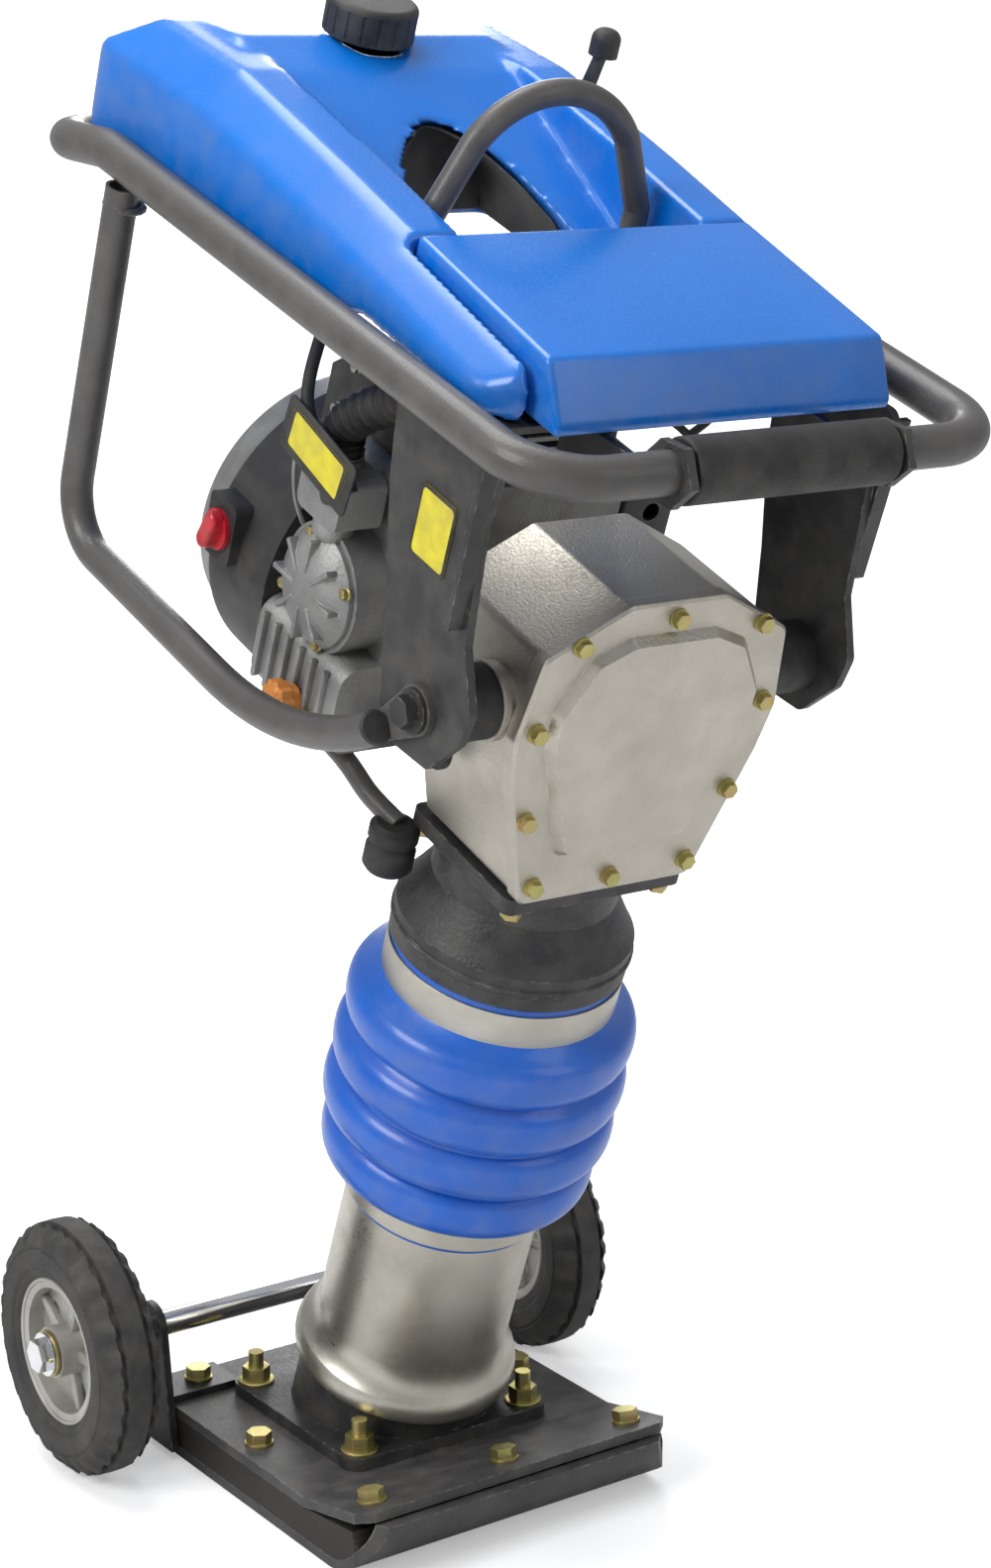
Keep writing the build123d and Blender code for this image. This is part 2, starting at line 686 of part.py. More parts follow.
with BuildPart() as con_rod:
    with BuildSketch(facing(-ROD_THICK / 2)):
        with Locations((CRANK_R, CRANK_W)):
            Circle(BIG_END_R)
        with Locations((EYE_Y, WRIST_W)):
            Circle(SMALL_END_R)
        with BuildLine():
            Polyline(
                (CRANK_R - 15, CRANK_W - 12),
                (CRANK_R + 11, CRANK_W - 18),
                (EYE_Y + 9, WRIST_W + 11),
                (EYE_Y - 10, WRIST_W + 10),
                close=True,
            )
        make_face()
        with Locations((CRANK_R, CRANK_W)):
            Circle(PIN_R + RUN, mode=Mode.SUBTRACT)
        with Locations((EYE_Y, WRIST_W)):
            Circle(WRIST_R + EYE_GAP, mode=Mode.SUBTRACT)
    extrude(amount=ROD_THICK)
con_rod.part.label = "con_rod"
export_step(con_rod.part, "parts/con_rod.step")

PINION_R = 8.5
DRUM_R = 58
DRUM_BACK, DRUM_FRONT = -90, -50

with BuildPart() as pinion_shaft:
    with BuildSketch(facing(GEAR_BACK - 0.5)):
        with Locations((0, ENGINE_W)):
            Polygon(*gear_outline(PINION_T, pi / 2 + pi / PINION_T, 1.3, 1.8, 0.25), align=None)
    extrude(amount=GEAR_FACE + 1)
    with BuildSketch(facing(DRUM_FRONT - 2)):
        with Locations((0, ENGINE_W)):
            Circle(PINION_R)
    extrude(amount=GEAR_BACK - DRUM_FRONT + 2)
    with BuildSketch(facing(DRUM_BACK)):
        with Locations((0, ENGINE_W)):
            Circle(DRUM_R)
    extrude(amount=DRUM_FRONT - DRUM_BACK)
    with BuildSketch(facing(DRUM_BACK)):
        with Locations((0, ENGINE_W)):
            Circle(DRUM_R - 4)
    extrude(amount=DRUM_FRONT - DRUM_BACK - 5, mode=Mode.SUBTRACT)
pinion_shaft.part.label = "pinion_shaft"
export_step(pinion_shaft.part, "parts/pinion_shaft.step")

BEARING_R = 30
PINION_BEARING_R = 20

with BuildPart() as crank_bearings:
    with BuildSketch(facing(CASE_BACK - 8)):
        with Locations((0, CRANK_W)):
            Circle(BEARING_R)
            Circle(JOURNAL_R + RUN, mode=Mode.SUBTRACT)
        with Locations((0, ENGINE_W)):
            Circle(PINION_BEARING_R)
            Circle(PINION_R + RUN, mode=Mode.SUBTRACT)
    extrude(amount=12)
crank_bearings.part.label = "crank_bearings"
export_step(crank_bearings.part, "parts/crank_bearings.step")

# ================================================================ crankcase
CASE_OUTLINE = [(39, 810), (99, 778), (108, 718), (102, 684), (72, GUIDE_TOP)]
PANEL_OUTLINE = [(34, 788), (62, 776), (84, 738), (84, 712), (52, 622)]


def shield(outline, inset=0):
    """The crankcase's outline, seen from the front, with rounded corners."""
    Polygon(*mirrored(outline), align=None)
    fillet(vertices(), 10)
    if inset:
        offset(amount=-inset, mode=Mode.REPLACE)


BELL_R = 70                   # bell housing of the clutch
BELL_WALL, BELL_BACK = 7, -96
BOSS_R, BOSS_DEEP = 27, 14    # mount bosses on the crankcase's flanks
CASE_SIDE = 112               # outer face of the mount bosses
BEARING_SEAT = 10             # how far the bearing seats stand behind the back wall

with BuildPart() as crankcase:
    with BuildSketch(facing(CASE_BACK)):
        shield(CASE_OUTLINE, 2)
    extrude(amount=CASE_FRONT - CASE_BACK)
    with BuildSketch(facing(CASE_BACK + CASE_WALL)):
        shield(CASE_OUTLINE, CASE_WALL + 1)
    extrude(amount=CASE_FRONT - CASE_BACK, mode=Mode.SUBTRACT)
    with BuildSketch(facing(BELL_BACK)):
        with Locations((0, ENGINE_W)):
            Circle(BELL_R)
            Circle(BELL_R - BELL_WALL, mode=Mode.SUBTRACT)
    extrude(amount=CASE_BACK - BELL_BACK)
    with BuildSketch(facing(CASE_BACK - BEARING_SEAT)):
        with Locations((0, CRANK_W)):
            Circle(BEARING_R + 6)
        with Locations((0, ENGINE_W)):
            Circle(PINION_BEARING_R + 6)
    extrude(amount=BEARING_SEAT + 2)
    with BuildSketch(facing(CASE_BACK - BEARING_SEAT)):
        with Locations((0, CRANK_W)):
            Circle(BEARING_R + SLIP)
        with Locations((0, ENGINE_W)):
            Circle(PINION_BEARING_R + SLIP)
    extrude(amount=BEARING_SEAT + CASE_WALL + 2, mode=Mode.SUBTRACT)
    for boss_start in (CASE_SIDE, BOSS_DEEP - CASE_SIDE):
        with BuildSketch(side(boss_start)):
            with Locations((MOUNT_U, MOUNT_W)):
                Circle(BOSS_R)
        extrude(amount=BOSS_DEEP)
    with BuildSketch(level(GUIDE_TOP)):
        Circle(GUIDE_HOLE_R)
    extrude(amount=30, mode=Mode.SUBTRACT)
crankcase.part.label = "crankcase"
export_step(crankcase.part, "parts/crankcase.step")

COVER_BACK = CASE_FRONT + SLIP
COVER_FACE = COVER_BACK + COVER
PANEL_RISE = 7
COVER_BOLTS = [(0, 798), (74, 786), (93, 724), (84, 655), (64, 600), (0, 598)]

with BuildPart() as crankcase_cover:
    with BuildSketch(facing(COVER_BACK)):
        shield(CASE_OUTLINE)
    extrude(amount=COVER)
    chamfer(faces().sort_by(Axis((0, 0, 0), FWD))[-1].edges(), 2)
    with BuildSketch(facing(COVER_FACE)):
        shield(PANEL_OUTLINE)
    extrude(amount=PANEL_RISE, taper=35)
    with BuildSketch(facing(COVER_BACK)):
        shield(CASE_OUTLINE, CASE_WALL + 1.5)
        shield_ring = offset(amount=-5, mode=Mode.PRIVATE)
        add(shield_ring, mode=Mode.SUBTRACT)
    extrude(amount=-4)
crankcase_cover.part.label = "crankcase_cover"
export_step(crankcase_cover.part, "parts/crankcase_cover.step")

FLANGE_BOLTS = [(66, 62), (66, -62), (-40, 66), (-40, -66)]
CASE_AF, CASE_HEAD = 10.5, 5  # hexagon heads on the cover, and their washers
CASE_WASHER_R, CASE_WASHER = 7, 1.5
FLANGE_AF, FLANGE_HEAD = 13, 8

with BuildPart() as case_bolts:
    for y, w in mirrored(COVER_BOLTS[1:-1]) + [COVER_BOLTS[0], COVER_BOLTS[-1]]:
        with BuildSketch(facing(COVER_FACE)):
            with Locations((y, w)):
                Circle(CASE_WASHER_R)
        extrude(amount=CASE_WASHER)
        with BuildSketch(facing(COVER_FACE + CASE_WASHER)):
            with Locations((y, w)):
                RegularPolygon(CASE_AF / 2, 6, major_radius=False)
        extrude(amount=CASE_HEAD)
    for u, y in FLANGE_BOLTS:
        with BuildSketch(level(GUIDE_TOP - GUIDE_FLANGE - FLANGE_HEAD)):
            with Locations((u, y)):
                RegularPolygon(FLANGE_AF / 2, 6, major_radius=False)
        extrude(amount=FLANGE_HEAD)
case_bolts.part.label = "case_bolts"
export_step(case_bolts.part, "parts/case_bolts.step")

with BuildPart() as oil_plug:
    with BuildSketch(side(-104)):
        with Locations((4, 668)):
            Circle(15)
    extrude(amount=4)
    with BuildSketch(side(-108)):
        with Locations((4, 668)):
            RegularPolygon(12, 6)
    extrude(amount=7)
oil_plug.part.label = "oil_plug"
export_step(oil_plug.part, "parts/oil_plug.step")

# ================================================================ engine
BLOCK_FRONT, BLOCK_BACK = -97, -206
BLOCK_Y = 86
SUMP_W, BLOCK_TOP = 600, 800
CYLINDER_U = -150
SHROUD_R = 120
SHROUD_BACK = -284
SHROUD_FRONT = BLOCK_BACK - 1
SHAFT_R = 14

with BuildPart() as engine_block:
    with BuildSketch(facing(BLOCK_BACK)):
        with Locations((0, (SUMP_W + BLOCK_TOP) / 2)):
            RectangleRounded(2 * BLOCK_Y, BLOCK_TOP - SUMP_W, 24)
        with Locations((-12, SUMP_W + 34)):
            RectangleRounded(216, 68, 16)
    extrude(amount=BLOCK_FRONT - BLOCK_BACK)
    with BuildSketch(facing(BLOCK_FRONT)):
        with Locations((0, ENGINE_W)):
            Circle(BELL_R - BELL_WALL - SLIP)
    extrude(amount=3)
    with BuildSketch(side(-BLOCK_Y + 2)):
        with Locations((CYLINDER_U, 704)):
            Circle(46)
    extrude(amount=30)
    with BuildSketch(level(BLOCK_TOP - 10)):
        with Locations((CYLINDER_U, -4)):
            Circle(38)
    extrude(amount=44)
    for fin in range(4):
        with BuildSketch(level(BLOCK_TOP + 4 + 8.5 * fin)):
            with Locations((CYLINDER_U, -4)):
                RectangleRounded(94, 100, 10)
        extrude(amount=3.5)
    with BuildSketch(facing(BLOCK_BACK - 8)):
        with Locations((0, ENGINE_W)):
            Circle(SHAFT_R + RUN)
    extrude(amount=BLOCK_FRONT - BLOCK_BACK + 20, mode=Mode.SUBTRACT)
engine_block.part.label = "engine_block"
export_step(engine_block.part, "parts/engine_block.step")

SHAFT_BACK, SHAFT_FRONT = -272, -58

with BuildPart() as engine_crankshaft:
    with BuildSketch(facing(SHAFT_BACK)):
        with Locations((0, ENGINE_W)):
            Circle(SHAFT_R)
    extrude(amount=SHAFT_FRONT - SHAFT_BACK)
    with BuildSketch(facing(BLOCK_FRONT + 4)):
        with Locations((0, ENGINE_W)):
            Circle(SHAFT_R + 6)
    extrude(amount=4)
engine_crankshaft.part.label = "engine_crankshaft"
export_step(engine_crankshaft.part, "parts/engine_crankshaft.step")

SHOE_BACK, SHOE_FACE = -86, 24

with BuildPart() as clutch_shoes:
    with BuildSketch(facing(SHOE_BACK)):
        with Locations((0, ENGINE_W)):
            Circle(DRUM_R - 6)
            Circle(SHAFT_R + SLIP, mode=Mode.SUBTRACT)
            with PolarLocations(34, 3, start_angle=30):
                RectangleRounded(44, 5, 2, mode=Mode.SUBTRACT)
    extrude(amount=SHOE_FACE)
clutch_shoes.part.label = "clutch_shoes"
export_step(clutch_shoes.part, "parts/clutch_shoes.step")

WHEEL_BACK, WHEEL_FACE, FLYWHEEL_R = -244, 22, 98
BLADE_LONG = 18

with BuildPart() as flywheel:
    with BuildSketch(facing(WHEEL_BACK)):
        with Locations((0, ENGINE_W)):
            Circle(FLYWHEEL_R)
            Circle(SHAFT_R + SLIP, mode=Mode.SUBTRACT)
            with PolarLocations(58, 6):
                Circle(16, mode=Mode.SUBTRACT)
    extrude(amount=WHEEL_FACE)
    for blade in range(12):
        with BuildSketch(facing(WHEEL_BACK)):
            with Locations((0, ENGINE_W)):
                with PolarLocations(82, 1, start_angle=30 * blade):
                    Rectangle(30, 3, rotation=24)
        extrude(amount=-BLADE_LONG)
flywheel.part.label = "flywheel"
export_step(flywheel.part, "parts/flywheel.step")

SWITCH_U, SWITCH_W = -264, 690
SWITCH_Y = -128               # outer face of the switch's seat

with BuildPart() as fan_shroud:
    with BuildSketch(facing(SHROUD_BACK)):
        with Locations((0, ENGINE_W)):
            Circle(SHROUD_R)
    extrude(amount=SHROUD_FRONT - SHROUD_BACK)
    with BuildSketch(side(68)):
        with BuildLine():
            Polyline(
                (SHROUD_BACK + 40, 770),
                (SHROUD_BACK + 40, 826),
                (-206, 858),
                (-112, 858),
                (-98, 846),
                (-98, BLOCK_TOP + 1),
                (SHROUD_FRONT, BLOCK_TOP + 1),
                (SHROUD_FRONT, 770),
                close=True,
            )
        make_face()
    extrude(amount=142)
    with BuildSketch(side(SWITCH_Y + 30)):
        with Locations((SWITCH_U, SWITCH_W)):
            RectangleRounded(36, 48, 6)
    extrude(amount=30)
    with BuildSketch(facing(SHROUD_BACK)):
        with Locations((0, ENGINE_W)):
            Circle(SHROUD_R - 5)
    extrude(amount=SHROUD_FRONT - SHROUD_BACK - 4, mode=Mode.SUBTRACT)
    with BuildSketch(facing(SHROUD_FRONT - 5)):
        with Locations((0, ENGINE_W)):
            Circle(70)
    extrude(amount=6, mode=Mode.SUBTRACT)
    with BuildSketch(side(62)):
        with BuildLine():
            Polyline(
                (SHROUD_BACK + 46, 760),
                (SHROUD_BACK + 46, 822),
                (-204, 852),
                (-95, 852),
                (-95, BLOCK_TOP),
                (SHROUD_FRONT - 4, BLOCK_TOP),
                (SHROUD_FRONT - 4, 760),
                close=True,
            )
        make_face()
    extrude(amount=130, mode=Mode.SUBTRACT)
fan_shroud.part.label = "fan_shroud"
export_step(fan_shroud.part, "parts/fan_shroud.step")

with BuildPart() as rocker_cover:
    with BuildSketch(level(BLOCK_TOP + 34.5)):
        with Locations((CYLINDER_U, -4)):
            RectangleRounded(88, 94, 14)
    extrude(amount=15, taper=12)
    fillet(faces().sort_by(LEG_AXIS)[-1].edges(), 3)
rocker_cover.part.label = "rocker_cover"
export_step(rocker_cover.part, "parts/rocker_cover.step")

RECOIL_DEEP = 36
RECOIL_TAPER = 14

with BuildPart() as recoil_cover:
    with BuildSketch(facing(SHROUD_BACK - SLIP)):
        with Locations((0, ENGINE_W)):
            Circle(SHROUD_R - 2)
    extrude(amount=-RECOIL_DEEP, taper=RECOIL_TAPER)
    fillet(faces().sort_by(Axis((0, 0, 0), FWD))[0].edges(), 8)
    with BuildSketch(facing(SHROUD_BACK)):
        with Locations((0, ENGINE_W)):
            Circle(SHROUD_R - 7)
    extrude(amount=4 - RECOIL_DEEP, taper=RECOIL_TAPER, mode=Mode.SUBTRACT)
    with BuildSketch(facing(SHROUD_BACK - RECOIL_DEEP - 2)):
        with Locations((0, ENGINE_W)):
            with PolarLocations(68, 14):
                SlotOverall(38, 7)
    extrude(amount=14, mode=Mode.SUBTRACT)
recoil_cover.part.label = "recoil_cover"
export_step(recoil_cover.part, "parts/recoil_cover.step")

GRIP_Y, GRIP_W = 30, 752
GRIP_BACK = SHROUD_BACK - RECOIL_DEEP - 26

with BuildPart() as starter_grip:
    with BuildSketch(facing(GRIP_BACK)):
        with Locations((GRIP_Y, GRIP_W)):
            RectangleRounded(72, 22, 10)
    extrude(amount=16)
    fillet(edges(), 4)
    with BuildSketch(facing(GRIP_BACK + 14)):
        with Locations((GRIP_Y, GRIP_W)):
            Circle(8)
    extrude(amount=11)
starter_grip.part.label = "starter_grip"
export_step(starter_grip.part, "parts/starter_grip.step")

with BuildPart() as engine_switch:
    with BuildSketch(side(SWITCH_Y - SLIP)):
        with Locations((SWITCH_U, SWITCH_W)):
            Circle(15)
    extrude(amount=4)
    with BuildSketch(side(SWITCH_Y - 4)):
        with Locations((SWITCH_U, SWITCH_W)):
            SlotOverall(32, 14, rotation=70)
    extrude(amount=9)
    fillet(faces().sort_by(Axis.Y)[0].edges(), 3)
engine_switch.part.label = "engine_switch"
export_step(engine_switch.part, "parts/engine_switch.step")

MUFFLER_Y, MUFFLER_W = 118, 744

with BuildPart() as muffler:
    with BuildSketch(facing(-196)):
        with Locations((MUFFLER_Y, MUFFLER_W)):
            RectangleRounded(50, 92, 20)
    extrude(amount=92)
    fillet(edges().filter_by(GeomType.LINE, reverse=True), 5)
    with BuildSketch(facing(-192)):
        with Locations((MUFFLER_Y, MUFFLER_W)):
            RectangleRounded(44, 86, 17)
    extrude(amount=84, mode=Mode.SUBTRACT)
    with BuildSketch(facing(-110)):
        with Locations((MUFFLER_Y + 4, MUFFLER_W + 20)):
            Circle(7)
    extrude(amount=10, mode=Mode.SUBTRACT)
    with BuildSketch(side(MUFFLER_Y - 24)):
        with Locations((CYLINDER_U, MUFFLER_W + 16)):
            Circle(12)
    extrude(amount=MUFFLER_Y - 24 - BLOCK_Y - SLIP)
muffler.part.label = "muffler"
export_step(muffler.part, "parts/muffler.step")

CARB_U, CARB_W = -150, 776
CARB_Y = -BLOCK_Y - 8

with BuildPart() as carburettor:
    with BuildSketch(side(-BLOCK_Y - SLIP)):
        with Locations((CARB_U, CARB_W)):
            Circle(15)
    extrude(amount=9)
    with BuildSketch(side(CARB_Y)):
        with Locations((CARB_U, CARB_W + 2)):
            RectangleRounded(52, 38, 8)
    extrude(amount=36)
    with BuildSketch(level(CARB_W + 20)):
        with Locations((CARB_U - 10, CARB_Y - 18)):
            Circle(16)
    extrude(amount=8)
carburettor.part.label = "carburettor"
export_step(carburettor.part, "parts/carburettor.step")

CHOKE_Y = CARB_Y - 36 - SLIP

with BuildPart() as choke_lever:
    with BuildSketch(side(CHOKE_Y)):
        with Locations((CARB_U + 12, CARB_W + 8)):
            Circle(7)
        with BuildLine():
            Polyline(
                (CARB_U + 8, CARB_W + 12),
                (CARB_U + 16, CARB_W + 4),
                (CARB_U + 42, CARB_W + 26),
                (CARB_U + 36, CARB_W + 32),
                close=True,
            )
        make_face()
    extrude(amount=4)
choke_lever.part.label = "choke_lever"
export_step(choke_lever.part, "parts/choke_lever.step")

# ================================================================ rubber mounts
MOUNT_GAP = 0.2               # between a rubber mount and its side plate
MOUNT_R = 25

with BuildPart() as rubber_mounts:
    with BuildSketch(side(PLATE_Y - MOUNT_GAP)):
        with Locations((MOUNT_U, MOUNT_W)):
            Circle(MOUNT_R)
    extrude(amount=PLATE_Y - MOUNT_GAP - CASE_SIDE - SLIP)
    with BuildSketch(side(PLATE_Y)):
        with Locations((MOUNT_U, MOUNT_W)):
            Circle(7)
    extrude(amount=22, mode=Mode.SUBTRACT)
    mirror(about=Plane.XZ)
rubber_mounts.part.label = "rubber_mounts"
export_step(rubber_mounts.part, "parts/rubber_mounts.step")

# ================================================================ handle frame
GRIP_U, GRIP_W_LOW = -497, 891
BEND_U, BEND_W = -409, 917
LEVER_U = -362                # throttle lever's pivot, on the left tube
CLAMP_TOP = BEND_W + TUBE_R + 3

with BuildPart() as handle_loop:
    with BuildLine() as left_run:
        FilletPolyline(
            spot(BAR_U, 0, BAR_W),
            spot(BAR_U, HANDLE_Y, BAR_W),
            spot(BEND_U, HANDLE_Y, BEND_W),
            spot(GRIP_U, HANDLE_Y, GRIP_W_LOW),
            spot(GRIP_U, 0, GRIP_W_LOW),
            radius=48,
        )
    with BuildSketch(across_start(left_run.line)):
        Circle(TUBE_R)
        Circle(TUBE_R - 3, mode=Mode.SUBTRACT)
    sweep()
    mirror(about=Plane.XZ)
    with BuildSketch(side(HANDLE_Y + 12)):
        with Locations((LEVER_U, CLAMP_TOP + 10)):
            RectangleRounded(34, 32, 8)
    extrude(amount=24)
    with BuildSketch(side(HANDLE_Y + 5)):
        with Locations((LEVER_U, CLAMP_TOP + 18)):
            Rectangle(40, 30)
    extrude(amount=10, mode=Mode.SUBTRACT)
handle_loop.part.label = "handle_loop"
export_step(handle_loop.part, "parts/handle_loop.step")

GUARD_TOP_W = 917
GUARD_BACK = -378
GUARD_LOW = 634
GUARD_BEND = 44
GUARD_TIP_U, GUARD_TIP_W = MOUNT_U - 24, MOUNT_W - 26
TONGUE = 5                    # flattened end of a guard tube
GUARD_TURN_U = -165
PLATE_T = 6
TIP_Y = PLATE_Y + PLATE_T + GUARD_R + 0.3

with BuildPart() as guard_tubes:
    inward = (spot(GUARD_TIP_U, TIP_Y, 0) - spot(GUARD_BACK, HANDLE_Y, 0)).normalized()
    tilted = Plane(origin=spot(0, TIP_Y + 1.6, 0), x_dir=inward, z_dir=inward.cross(UP))
    rise = GUARD_TIP_W - GUARD_LOW
    run = GUARD_TIP_U - GUARD_TURN_U
    bow = (run**2 + rise**2) / (2 * rise)
    half_turn = atan2(run, bow - rise) / 2
    with BuildLine(tilted) as guard_path:
        Line((GUARD_BACK, GUARD_TOP_W - TUBE_R - 1), (GUARD_BACK, GUARD_LOW + GUARD_BEND))
        ThreePointArc(
            (GUARD_BACK, GUARD_LOW + GUARD_BEND),
            (
                GUARD_BACK + GUARD_BEND * (1 - cos(pi / 4)),
                GUARD_LOW + GUARD_BEND * (1 - sin(pi / 4)),
            ),
            (GUARD_BACK + GUARD_BEND, GUARD_LOW),
        )
        Line((GUARD_BACK + GUARD_BEND, GUARD_LOW), (GUARD_TURN_U, GUARD_LOW))
        ThreePointArc(
            (GUARD_TURN_U, GUARD_LOW),
            (GUARD_TURN_U + bow * sin(half_turn), GUARD_LOW + bow * (1 - cos(half_turn))),
            (GUARD_TIP_U, GUARD_TIP_W),
        )
    with BuildSketch(across_start(guard_path.line)):
        Circle(GUARD_R)
        Circle(GUARD_R - 2.5, mode=Mode.SUBTRACT)
    sweep()
    with BuildSketch(side(PLATE_Y + PLATE_T + SLIP + TONGUE)):
        with Locations((MOUNT_U, MOUNT_W)):
            Circle(17)
        with BuildLine():
            Polyline(
                (GUARD_TIP_U - 14, GUARD_TIP_W + 2),
                (GUARD_TIP_U, GUARD_TIP_W - 12),
                (MOUNT_U + 12, MOUNT_W - 12),
                (MOUNT_U - 12, MOUNT_W + 12),
                close=True,
            )
        make_face()
        with Locations((MOUNT_U, MOUNT_W)):
            Circle(6.5, mode=Mode.SUBTRACT)
    extrude(amount=TONGUE)
    mirror(about=Plane.XZ)
guard_tubes.part.label = "guard_tubes"
export_step(guard_tubes.part, "parts/guard_tubes.step")

SIDE_OUTLINE = [
    (-52, 922),
    (70, 925),
    (62, 870),
    (72, 790),
    (92, 752),
    (88, 728),
    (62, 694),
    (20, 690),
    (0, 708),
    (-18, 780),
    (-40, 850),
]

with BuildPart() as side_plates:
    with BuildSketch(side(PLATE_Y + PLATE_T)):
        with BuildLine():
            Polyline(*SIDE_OUTLINE, close=True)
        make_face()
        fillet(vertices(), 9)
        with Locations((MOUNT_U, MOUNT_W)):
            Circle(6.5, mode=Mode.SUBTRACT)
    extrude(amount=PLATE_T)
    with BuildSketch(level(800)):
        with Locations((64, PLATE_Y + PLATE_T + 6)):
            Rectangle(5, 12)
    extrude(amount=118)
    mirror(about=Plane.XZ)
side_plates.part.label = "side_plates"
export_step(side_plates.part, "parts/side_plates.step")

BRIDGE_W = 926

with BuildPart() as bridge_plate:
    with BuildSketch(level(BRIDGE_W)):
        with Locations((-5, 0)):
            Rectangle(118, 2 * PLATE_Y - 1)
        with Locations((-5, 0)):
            RectangleRounded(70, 180, 20, mode=Mode.SUBTRACT)
    extrude(amount=5)
    for y in (-86, 86):
        with BuildSketch(side(y + 3)):
            with BuildLine():
                Polyline(
                    (30, BRIDGE_W),
                    (30, BRIDGE_W - 26),
                    (86, BRIDGE_W - 12),
                    (BAR_U - 8, BAR_W - TUBE_R - 9),
                    (BAR_U + 10, BAR_W - TUBE_R - 6),
                    (BAR_U + 24, BAR_W),
                    (BAR_U + 10, BAR_W + TUBE_R + 6),
                    (BAR_U - 14, BAR_W + TUBE_R + 2),
                    (BAR_U - 30, BRIDGE_W + 5),
                    close=True,
                )
            make_face()
            with Locations((BAR_U, BAR_W)):
                Circle(TUBE_R + 0.3, mode=Mode.SUBTRACT)
        extrude(amount=6)
bridge_plate.part.label = "bridge_plate"
export_step(bridge_plate.part, "parts/bridge_plate.step")

with BuildPart() as transport_roller:
    with BuildSketch(Plane(origin=spot(BAR_U, 80, BAR_W), x_dir=FWD, z_dir=-LEFT)):
        Circle(21)
        Circle(TUBE_R + 0.4, mode=Mode.SUBTRACT)
    extrude(amount=160)
    fillet(edges().filter_by(GeomType.CIRCLE).sort_by(SortBy.RADIUS)[-2:], 2)
transport_roller.part.label = "transport_roller"
export_step(transport_roller.part, "parts/transport_roller.step")

with BuildPart() as mount_bolts:
    washer_y = PLATE_Y + PLATE_T + TONGUE + 2 * SLIP
    with BuildSketch(side(washer_y + 3)):
        with Locations((MOUNT_U, MOUNT_W)):
            Circle(15)
    extrude(amount=3)
    with BuildSketch(side(washer_y + 12)):
        with Locations((MOUNT_U, MOUNT_W)):
            RegularPolygon(9.5, 6, major_radius=False)
    extrude(amount=9)
    with BuildSketch(side(washer_y)):
        with Locations((MOUNT_U, MOUNT_W)):
            Circle(6)
    extrude(amount=washer_y - PLATE_Y + 16)
    mirror(about=Plane.XZ)
mount_bolts.part.label = "mount_bolts"
export_step(mount_bolts.part, "parts/mount_bolts.step")

# ================================================================ tank, filter box and hoop
TANK_Y = 163                  # outer half-width of the tank
FIN_Y = 98                    # inner wall of the tank's side fins
BOX_Y = 133                   # half-width of the filter box
TUNNEL_R, TUNNEL_W = 68, 912
TANK_LOW = 903
CAP_U = -385                  # centre of the filler

with BuildPart() as fuel_tank:
    with BuildSketch(side(TANK_Y)):
        with BuildLine():
            Polyline(
                (-468, TANK_LOW),
                (-498, 925),
                (-482, 965),
                (-440, 1000),
                (-327, 1006),
                (-190, 996),
                (40, 974),
                (62, 944),
                (50, 932),
                (-100, 934),
                (-180, TANK_LOW),
                close=True,
            )
        make_face()
    extrude(amount=TANK_Y - FIN_Y)
    chamfer(faces().sort_by(Axis.Y)[-1].edges().sort_by(LEG_AXIS)[-3:], 28)
    mirror(about=Plane.XZ)
    with BuildSketch(side(FIN_Y + 10)):
        with BuildLine():
            Polyline(
                (-470, TANK_LOW),
                (-499, 925),
                (-483, 966),
                (-440, 1000),
                (-385, 1008),
                (-340, 1000),
                (-180, 942),
                (-180, TANK_LOW + 6),
                close=True,
            )
        make_face()
    extrude(amount=2 * FIN_Y + 20)
    with BuildSketch(side(BOX_Y + 4)):
        with BuildLine():
            Polyline((-100, 925), (80, 925), (80, 1010), (-100, 1010), close=True)
        make_face()
    extrude(amount=2 * BOX_Y + 8, mode=Mode.SUBTRACT)
    with BuildSketch(facing(-300)):
        with Locations((0, TUNNEL_W)):
            Circle(TUNNEL_R)
    extrude(amount=140, mode=Mode.SUBTRACT)
    with BuildSketch(side(FIN_Y - 6)):
        with BuildLine():
            Polyline(
                (-472, TANK_LOW + 8),
                (-488, 928),
                (-474, 962),
                (-438, 990),
                (-386, 998),
                (-310, 986),
                (-310, TANK_LOW + 8),
                close=True,
            )
        make_face()
    extrude(amount=2 * FIN_Y - 12, mode=Mode.SUBTRACT)
    with BuildSketch(level(980)):
        with Locations((CAP_U, 0)):
            Circle(24)
    extrude(amount=40, mode=Mode.SUBTRACT)
    with BuildSketch(level(TANK_LOW - 1)):
        with Locations((-240, 0)):
            Rectangle(620, 400)
        with Locations((-220, 0)):
            RectangleRounded(562, 2 * TANK_Y, 46, mode=Mode.SUBTRACT)
    extrude(amount=120, mode=Mode.SUBTRACT)
fuel_tank.part.label = "fuel_tank"
export_step(fuel_tank.part, "parts/fuel_tank.step")

with BuildPart() as fuel_cap:
    with BuildSketch(level(1009)):
        with Locations((CAP_U, 0)):
            Circle(33)
    extrude(amount=26)
    fillet(faces().sort_by(LEG_AXIS)[-1].edges(), 5)
    with BuildSketch(level(1011)):
        with Locations((CAP_U, 0)):
            with PolarLocations(34, 18):
                Circle(2)
    extrude(amount=19, mode=Mode.SUBTRACT)
fuel_cap.part.label = "fuel_cap"
export_step(fuel_cap.part, "parts/fuel_cap.step")

